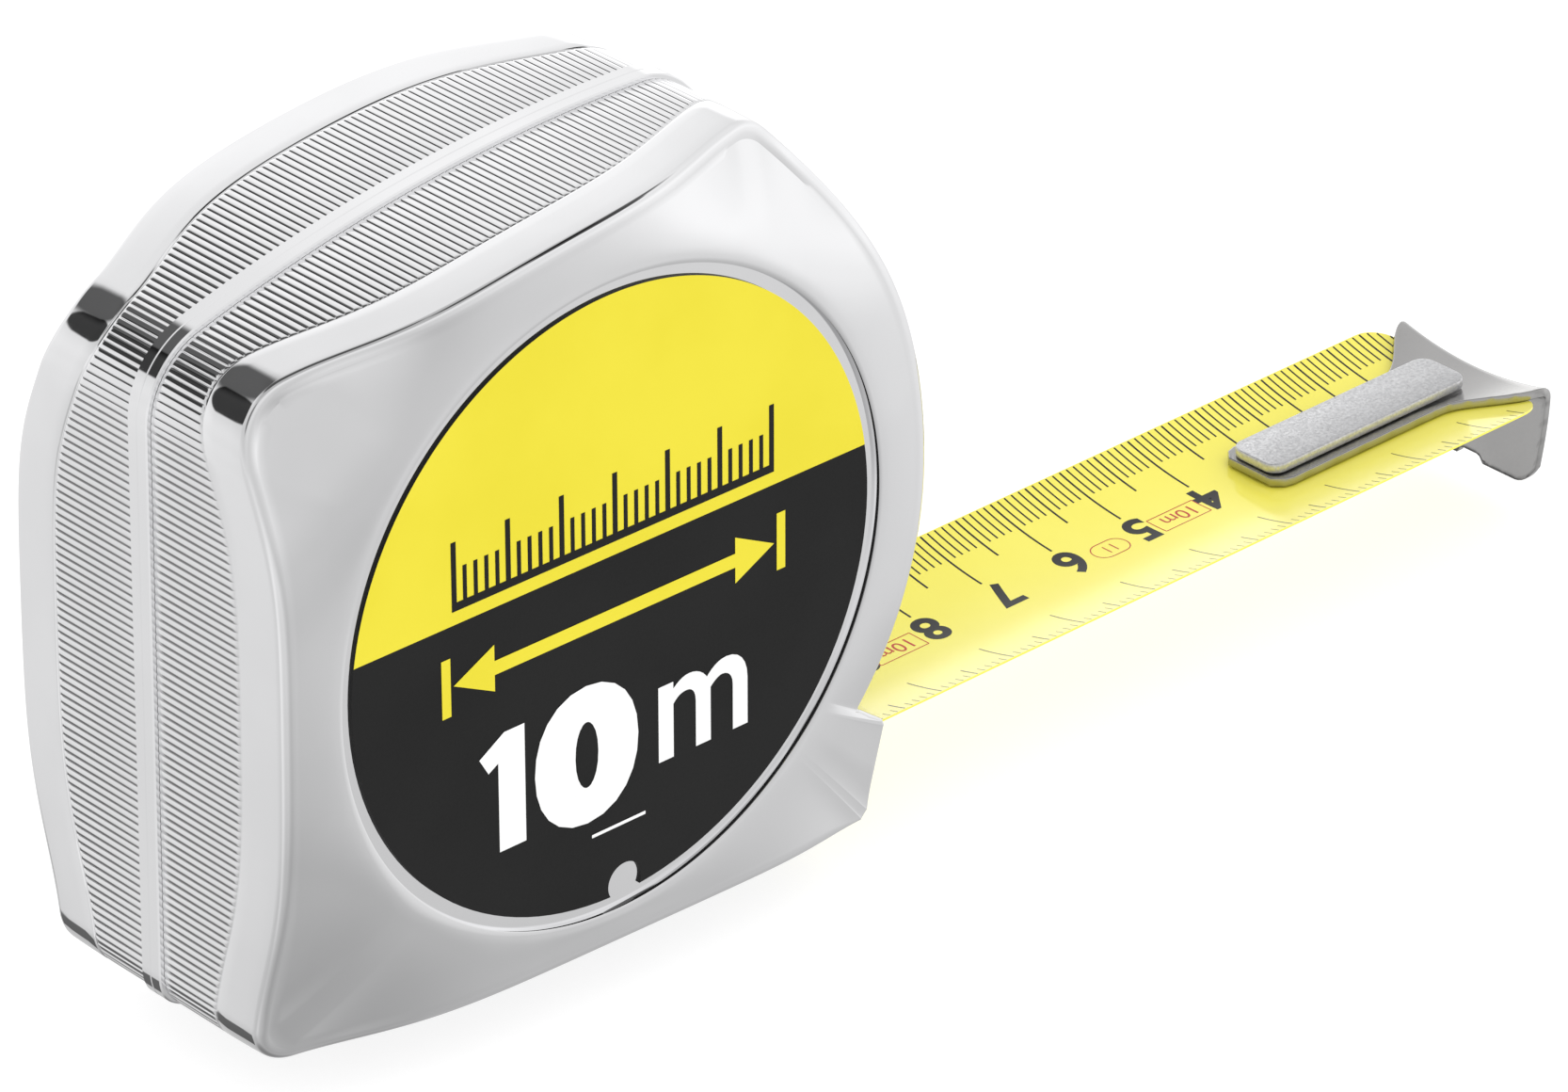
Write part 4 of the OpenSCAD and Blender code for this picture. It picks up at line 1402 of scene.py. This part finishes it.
@dataclass
class LockButton:
    """The sliding lock button on the front, with cross ridges and a stem through the slot."""

    outline: CaseOutline
    angle: float = 12.0
    reach: float = 8.0
    width: float = 14.0
    lift: float = 0.4
    body: float = 1.9
    ridge: float = 0.8
    ridges: int = 6
    stem_width: float = 5.0
    stem_reach: float = 4.0
    stem_depth: float = 3.2

    def build(self, paints: Paints) -> None:
        """Makes the button."""
        button = self._button()
        place(button, "lock", "black_plastic", paints["black_plastic"], ("lock_button",))

    def _at(self, angle: np.ndarray, radius: np.ndarray) -> np.ndarray:
        """Side-view spots at angles and radii about the front's centre."""
        a = np.radians(angle)
        out = np.stack([np.cos(a), np.sin(a)], -1)
        return self.outline.front_centre + out * np.asarray(radius)[..., None]

    def _button(self) -> bpy.types.Object:
        """Makes the ridged plate and its stem as one mesh."""
        base = self.outline.front_radius + self.lift
        stops = np.linspace(-1, 1, 73)
        phase = (stops * 0.84 + 1) / 2 * self.ridges
        wave = np.sqrt(np.maximum(np.sin(np.pi * np.mod(phase, 1.0)), 0.0)) * (np.abs(stops) < 0.86)
        ends = np.sqrt(np.clip(1 - ((np.abs(stops) - 0.88) / 0.12), 0.06, 1.0))
        top = base + (self.body - 0.3 + self.ridge * wave) * ends
        across = np.linspace(-1, 1, 15) * self.width / 2
        edge = np.clip((np.abs(across) / (self.width / 2) - 0.86) / 0.14, 0, 1)
        spots = self._at(self.angle + self.reach * stops, np.full(len(stops), base))
        rows = []
        for i, stop in enumerate(stops):
            high = top[i] - (top[i] - base) * 0.45 * edge ** 2
            upper = self._at(np.full(len(across), self.angle + self.reach * stop), high)
            row = [(spots[i][0], across[0], spots[i][1])]
            row += [(p[0], y, p[1]) for p, y in zip(upper, across)]
            row += [(spots[i][0], across[-1], spots[i][1])]
            rows.append(row)
        points = np.array(rows)
        n_rows, n = points.shape[:2]
        faces = grid_faces(n_rows, n, False) + [(i * n, i * n + n - 1, (i + 1) * n + n - 1, (i + 1) * n)
                                                for i in range(n_rows - 1)]
        faces += [tuple(range(n)), tuple((n_rows - 1) * n + i for i in range(n))]
        stem_a = (self.angle - self.stem_reach, self.angle + self.stem_reach)
        start = n_rows * n
        stem = []
        for radius in (base - self.stem_depth, base + 0.3):
            for a, s in ((stem_a[0], -1), (stem_a[0], 1), (stem_a[1], 1), (stem_a[1], -1)):
                spot = self._at(np.array([a]), np.array([radius]))[0]
                stem.append((spot[0], s * self.stem_width / 2, spot[1]))
        sides = ((0, 1, 2, 3), (4, 5, 6, 7), (0, 1, 5, 4), (1, 2, 6, 5), (2, 3, 7, 6), (3, 0, 4, 7))
        faces += [tuple(start + i for i in quad) for quad in sides]
        button = mesh_object("lock_slider", np.vstack([points.reshape(-1, 3), stem]), faces, 35.0)
        outward(button)
        return button


@dataclass
class BeltClip:
    """The sprung steel belt clip on the left half."""

    width: float = 20.0
    thickness: float = 1.0
    gap: float = 7.0
    leg: float = 34.0
    flare: float = 30.0
    flare_length: float = 5.0
    under: float = 6.0
    top_rise: float = 18.0
    corner: float = 3.0
    bore: float = 1.9

    def build(self, paints: Paints, axis_z: float) -> None:
        """Makes the clip.

        Args:
            paints: All finishes.
            axis_z: Height of the reel's axis in millimetres.
        """
        inner_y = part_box("belt_clip")[0].y / MM
        profile, out = self._profile(inner_y, axis_z)
        half = np.full(len(profile), self.width / 2)
        run = np.concatenate([[0], np.cumsum(np.linalg.norm(np.diff(profile, axis=0), axis=1))])
        for end in (run, run[-1] - run):
            over = np.clip(self.corner - end, 0, self.corner)
            half = np.minimum(half, self.width / 2 - self.corner + np.sqrt(self.corner ** 2 - over ** 2))
        across = np.linspace(-1, 1, 13)
        n = len(across)
        points = np.stack([half[:, None] * across, np.repeat(profile[:, :1], n, 1),
                           np.repeat(profile[:, 1:], n, 1)], 2)
        clip = mesh_object("belt_clip_steel", points.reshape(-1, 3),
                           grid_faces(len(profile), n, False), 60.0)
        clip.data.update()
        face = clip.data.polygons[0]
        if face.normal.dot(Vector((0.0, *out[0]))) < 0:
            clip.data.flip_normals()
        thicken(clip, self.thickness, 0.0)
        soften(clip, 0.18, 2, 50.0)
        freeze(clip, 50.0)
        place(clip, "case", "spring_steel", paints["spring_steel"], ("belt_clip",))

    def _profile(self, inner_y: float, axis_z: float) -> tuple[np.ndarray, np.ndarray]:
        """Middle line of the sheet in the YZ plane, with its outward directions.

        Args:
            inner_y: Y of the inner leg's face.
            axis_z: Height of the clip's screw.

        Returns:
            The line's points and directions.
        """
        y0 = inner_y + self.thickness / 2
        radius = (self.gap + self.thickness) / 2
        top = axis_z + self.top_rise
        low, foot = axis_z - self.under, axis_z + self.top_rise - self.leg
        line = [(y0, z) for z in np.linspace(low, top, 24)]
        line += [(y0 + radius - radius * math.cos(a), top + radius * math.sin(a))
                 for a in np.radians(np.linspace(12, 168, 14))]
        line += [(y0 + 2 * radius, z) for z in np.linspace(top, foot, 24)]
        lean = math.radians(self.flare)
        line += [(y0 + 2 * radius - t * math.sin(lean), foot - t * math.cos(lean))
                 for t in np.linspace(0, self.flare_length, 8)[1:]]
        profile = np.array(line)
        along = np.gradient(profile, axis=0)
        out = np.stack([-along[:, 1], along[:, 0]], 1)
        return profile, out / np.linalg.norm(out, axis=1)[:, None]


@dataclass
class CarriedParts:
    """CAD parts that are shown as they are, each with its finish and, where a radius is given, softened
    edges.
    """

    finishes: dict[str, tuple[str, float]] = field(default_factory=lambda: {
        "case_screws": ("black_screw", 0.15), "clip_screw": ("black_screw", 0.15),
        "arbor": ("zinc_steel", 0.2),
        "lock_rivets": ("zinc_steel", 0.0), "hook_rivets": ("zinc_steel", 0.12),
        "reel_washers": ("white_nylon", 0.1), "mouth_guide": ("black_nylon", 0.1),
        "lock_carriage": ("black_nylon", 0.2), "brake_shoe": ("black_nylon", 0.2),
        "hook_bumper": ("black_rubber", 0.15), "brake_pads": ("black_rubber", 0.2),
        "reel": ("ivory_plastic", 0.3), "reel_cover": ("ivory_plastic", 0.3),
        "blade_coil": ("blade_yellow", 0.0),
        "power_spring": ("blued_steel", 0.0), "lock_spring": ("spring_steel", 0.0)})

    def build(self, paints: Paints) -> None:
        """Dresses each carried part and rounds its edges where a radius is given."""
        for name, (finish, radius) in self.finishes.items():
            part = frame["nodes"][name]
            dress(part, paints[finish])
            if radius:
                soften(part, radius, 2, 35.0)
            log.info("%s carried", name)


# ---------------------------------------------------------------- studio


@dataclass(frozen=True)
class Card:
    """A soft dark patch in the surroundings, which mirrored surfaces show as a dark area."""

    azimuth: float
    elevation: float
    radius: float
    softness: float
    depth: float

    def direction(self) -> tuple[float, float, float]:
        """Direction of the card's middle from the object."""
        a, e = math.radians(self.azimuth), math.radians(self.elevation)
        return (math.cos(a) * math.cos(e), math.sin(a) * math.cos(e), math.sin(e))


@dataclass
class Studio:
    """Camera, pale floor and soft surroundings."""

    lens: float = 191.7
    sensor: float = 36.0
    azimuth: float = 47.0
    elevation: float = 28.35
    roll: float = 0.88
    camera_place: tuple[float, float, float] = (-0.4571, -0.5329, 0.4147)
    floor_z: float = -0.0066
    floor_size: float = 12.0
    daylight: float = 1.12
    heights: tuple[tuple[float, float], ...] = (
        (-1.0, 0.24), (-0.87, 0.49), (-0.64, 0.61), (-0.42, 0.86), (-0.12, 0.94), (0.1, 1.0), (0.45, 0.85),
        (0.75, 0.90), (0.9, 0.54), (1.0, 0.48))
    cards: tuple[Card, ...] = (
        Card(-1.5, 60.0, 8.5, 9.0, 0.85), Card(105.0, 44.0, 12.0, 8.0, 0.87),
        Card(130.0, 29.5, 11.0, 2.0, 0.94), Card(-164.0, 44.0, 7.6, 7.5, 0.72),
        Card(-30.5, 54.0, 8.8, 2.5, 0.86), Card(112.0, -44.5, 11.5, 2.0, 0.78),
        Card(-97.0, -20.0, 19.0, 47.0, 0.34), Card(180.0, 16.0, 23.5, 45.0, 0.2),
        Card(-29.0, 21.0, 17.0, 38.0, -0.08),
        Card(63.0, 23.5, 8.5, 14.0, -0.24), Card(-123.0, -29.5, 22.0, 24.0, -0.34),
        Card(55.0, 1.0, 10.0, 12.0, -0.7), Card(-8.0, 73.0, 10.0, 3.0, 0.82),
        Card(120.0, 75.0, 13.0, 4.0, 0.82))

    def build(self) -> None:
        """Sets up the studio."""
        scene = bpy.context.scene
        scene.view_settings.view_transform = "Standard"
        glow = self._glow()
        self._camera(scene)
        self._world(scene, glow)
        self._floor(glow)

    def _camera(self, scene: bpy.types.Scene) -> None:
        """Places the camera."""
        data = bpy.data.cameras.new("camera")
        data.lens, data.sensor_width = self.lens, self.sensor
        data.clip_start, data.clip_end = 0.01, 50.0
        data.dof.use_dof = False
        camera = bpy.data.objects.new("camera", data)
        scene.collection.objects.link(camera)
        a, e = math.radians(self.azimuth), math.radians(self.elevation)
        look = Vector((math.cos(a) * math.cos(e), math.sin(a) * math.cos(e), -math.sin(e)))
        right = look.cross(Vector((0, 0, 1))).normalized()
        up = right.cross(look)
        turn = Matrix((right, up, -look)).transposed() @ Matrix.Rotation(math.radians(self.roll), 3, "Z")
        camera.matrix_world = Matrix.Translation(Vector(self.camera_place)) @ turn.to_4x4()
        scene.camera = camera

    def _glow(self) -> bpy.types.NodeTree:
        """Brightness of the surroundings in a direction: by height, less at each dark card."""
        group, nodes, come, go = new_group(
            "studio_glow", {"Direction": ("NodeSocketVector", (0.0, 0.0, 1.0))}, {"Color": "NodeSocketColor"})
        toward = nodes.add("ShaderNodeVectorMath", {"operation": "NORMALIZE"})
        nodes.put(toward.inputs[0], come.outputs["Direction"])
        height = nodes.add("ShaderNodeSeparateXYZ", Vector=toward.outputs[0]).outputs["Z"]
        share = nodes.math("MULTIPLY", nodes.math("ADD", height, 1.0), 0.5)
        ramp_node = nodes.add("ShaderNodeValToRGB", Fac=share)
        ramp_node.color_ramp.interpolation = "EASE"
        stops = ramp_node.color_ramp.elements
        while len(stops) < len(self.heights):
            stops.new(0.5)
        for stop, (z, level) in zip(stops, self.heights):
            stop.position, stop.color = (z + 1) / 2, (level, level, level, 1.0)
        level = ramp_node.outputs["Color"]
        for card in self.cards:
            facing = nodes.add("ShaderNodeVectorMath", {"operation": "DOT_PRODUCT"})
            nodes.put(facing.inputs[0], toward.outputs[0])
            nodes.put(facing.inputs[1], card.direction())
            apart = nodes.math("ARCCOSINE", facing.outputs["Value"])
            near, far = math.radians(card.radius), math.radians(card.radius + card.softness)
            kept = nodes.spread(apart, near, far, 1.0 - card.depth, 1.0)
            level = nodes.math("MULTIPLY", level, kept)
        nodes.put(go.inputs["Color"], level)
        return group

    def _world(self, scene: bpy.types.Scene, glow: bpy.types.NodeTree) -> None:
        """Even soft light for matt surfaces, and the studio's soft shapes for mirrored ones."""
        world = bpy.data.worlds.new("studio")
        world.use_nodes = True
        scene.world = world
        nodes = NodeBuilder(world.node_tree)
        even = world.node_tree.nodes["Background"]
        even.inputs["Color"].default_value = (1.0, 1.0, 1.0, 1.0)
        even.inputs["Strength"].default_value = self.daylight
        where = nodes.add("ShaderNodeTexCoord").outputs["Generated"]
        shapes = nodes.add("ShaderNodeGroup", {"node_tree": glow}, Direction=where)
        soft = nodes.add("ShaderNodeBackground", Color=shapes.outputs["Color"])
        path = nodes.add("ShaderNodeLightPath")
        mix = nodes.add("ShaderNodeMixShader")
        nodes.put(mix.inputs[0], path.outputs["Is Glossy Ray"])
        nodes.put(mix.inputs[1], even.outputs[0])
        nodes.put(mix.inputs[2], soft.outputs[0])
        nodes.put(world.node_tree.nodes["World Output"].inputs["Surface"], mix.outputs[0])

    def _floor(self, glow: bpy.types.NodeTree) -> None:
        """Pale plain floor, which mirrored surfaces see as part of the studio's soft shapes."""
        half = self.floor_size / 2
        mesh = bpy.data.meshes.new("floor")
        corners = ((-half, -half), (half, -half), (half, half), (-half, half))
        mesh.from_pydata([(x, y, self.floor_z) for x, y in corners], [], [(0, 1, 2, 3)])
        floor = bpy.data.objects.new("floor", mesh)
        bpy.context.scene.collection.objects.link(floor)
        material = bpy.data.materials.new("pale_floor")
        material.use_nodes = True
        nodes = NodeBuilder(material.node_tree)
        shader = material.node_tree.nodes["Principled BSDF"]
        shader.inputs["Base Color"].default_value = (0.45, 0.45, 0.45, 1.0)
        shader.inputs["Roughness"].default_value = 0.95
        shader.inputs["Specular IOR Level"].default_value = 0.0
        shader.inputs["Emission Color"].default_value = (1.0, 1.0, 1.0, 1.0)
        shader.inputs["Emission Strength"].default_value = 0.7
        back = nodes.add("ShaderNodeVectorMath", {"operation": "SCALE"})
        nodes.put(back.inputs[0], nodes.add("ShaderNodeNewGeometry").outputs["Incoming"])
        back.inputs["Scale"].default_value = -1.0
        shapes = nodes.add("ShaderNodeGroup", {"node_tree": glow}, Direction=back.outputs[0])
        soft = nodes.add("ShaderNodeEmission", Color=shapes.outputs["Color"])
        path = nodes.add("ShaderNodeLightPath")
        mix = nodes.add("ShaderNodeMixShader")
        nodes.put(mix.inputs[0], path.outputs["Is Glossy Ray"])
        nodes.put(mix.inputs[1], shader.outputs[0])
        nodes.put(mix.inputs[2], soft.outputs[0])
        nodes.put(material.node_tree.nodes["Material Output"].inputs["Surface"], mix.outputs[0])
        mesh.materials.append(material)


def main() -> None:
    """Builds the tape measure and its studio."""
    paints = Paints()
    outline = CaseOutline()
    for side in Side:
        name = f"case_{side.name.lower()}"
        shell, ribs = CaseShell(outline, side).build()
        place(shell, "case", "chrome_shell", paints["bright_chrome"], (name,))
        place(ribs, "case", "chrome_shell", paints["bright_chrome"])
        RoundLabel(side).build(paints)
    mouth = BladeFrame()
    Blade(mouth).build(paints)
    Hook(mouth).build(paints)
    LockButton(outline).build(paints)
    BeltClip().build(paints, outline.axis_z)
    CarriedParts().build(paints)
    Studio().build()


if __name__ == "__main__":
    logging.basicConfig(level=logging.INFO, format="%(name)s: %(message)s")
    main()
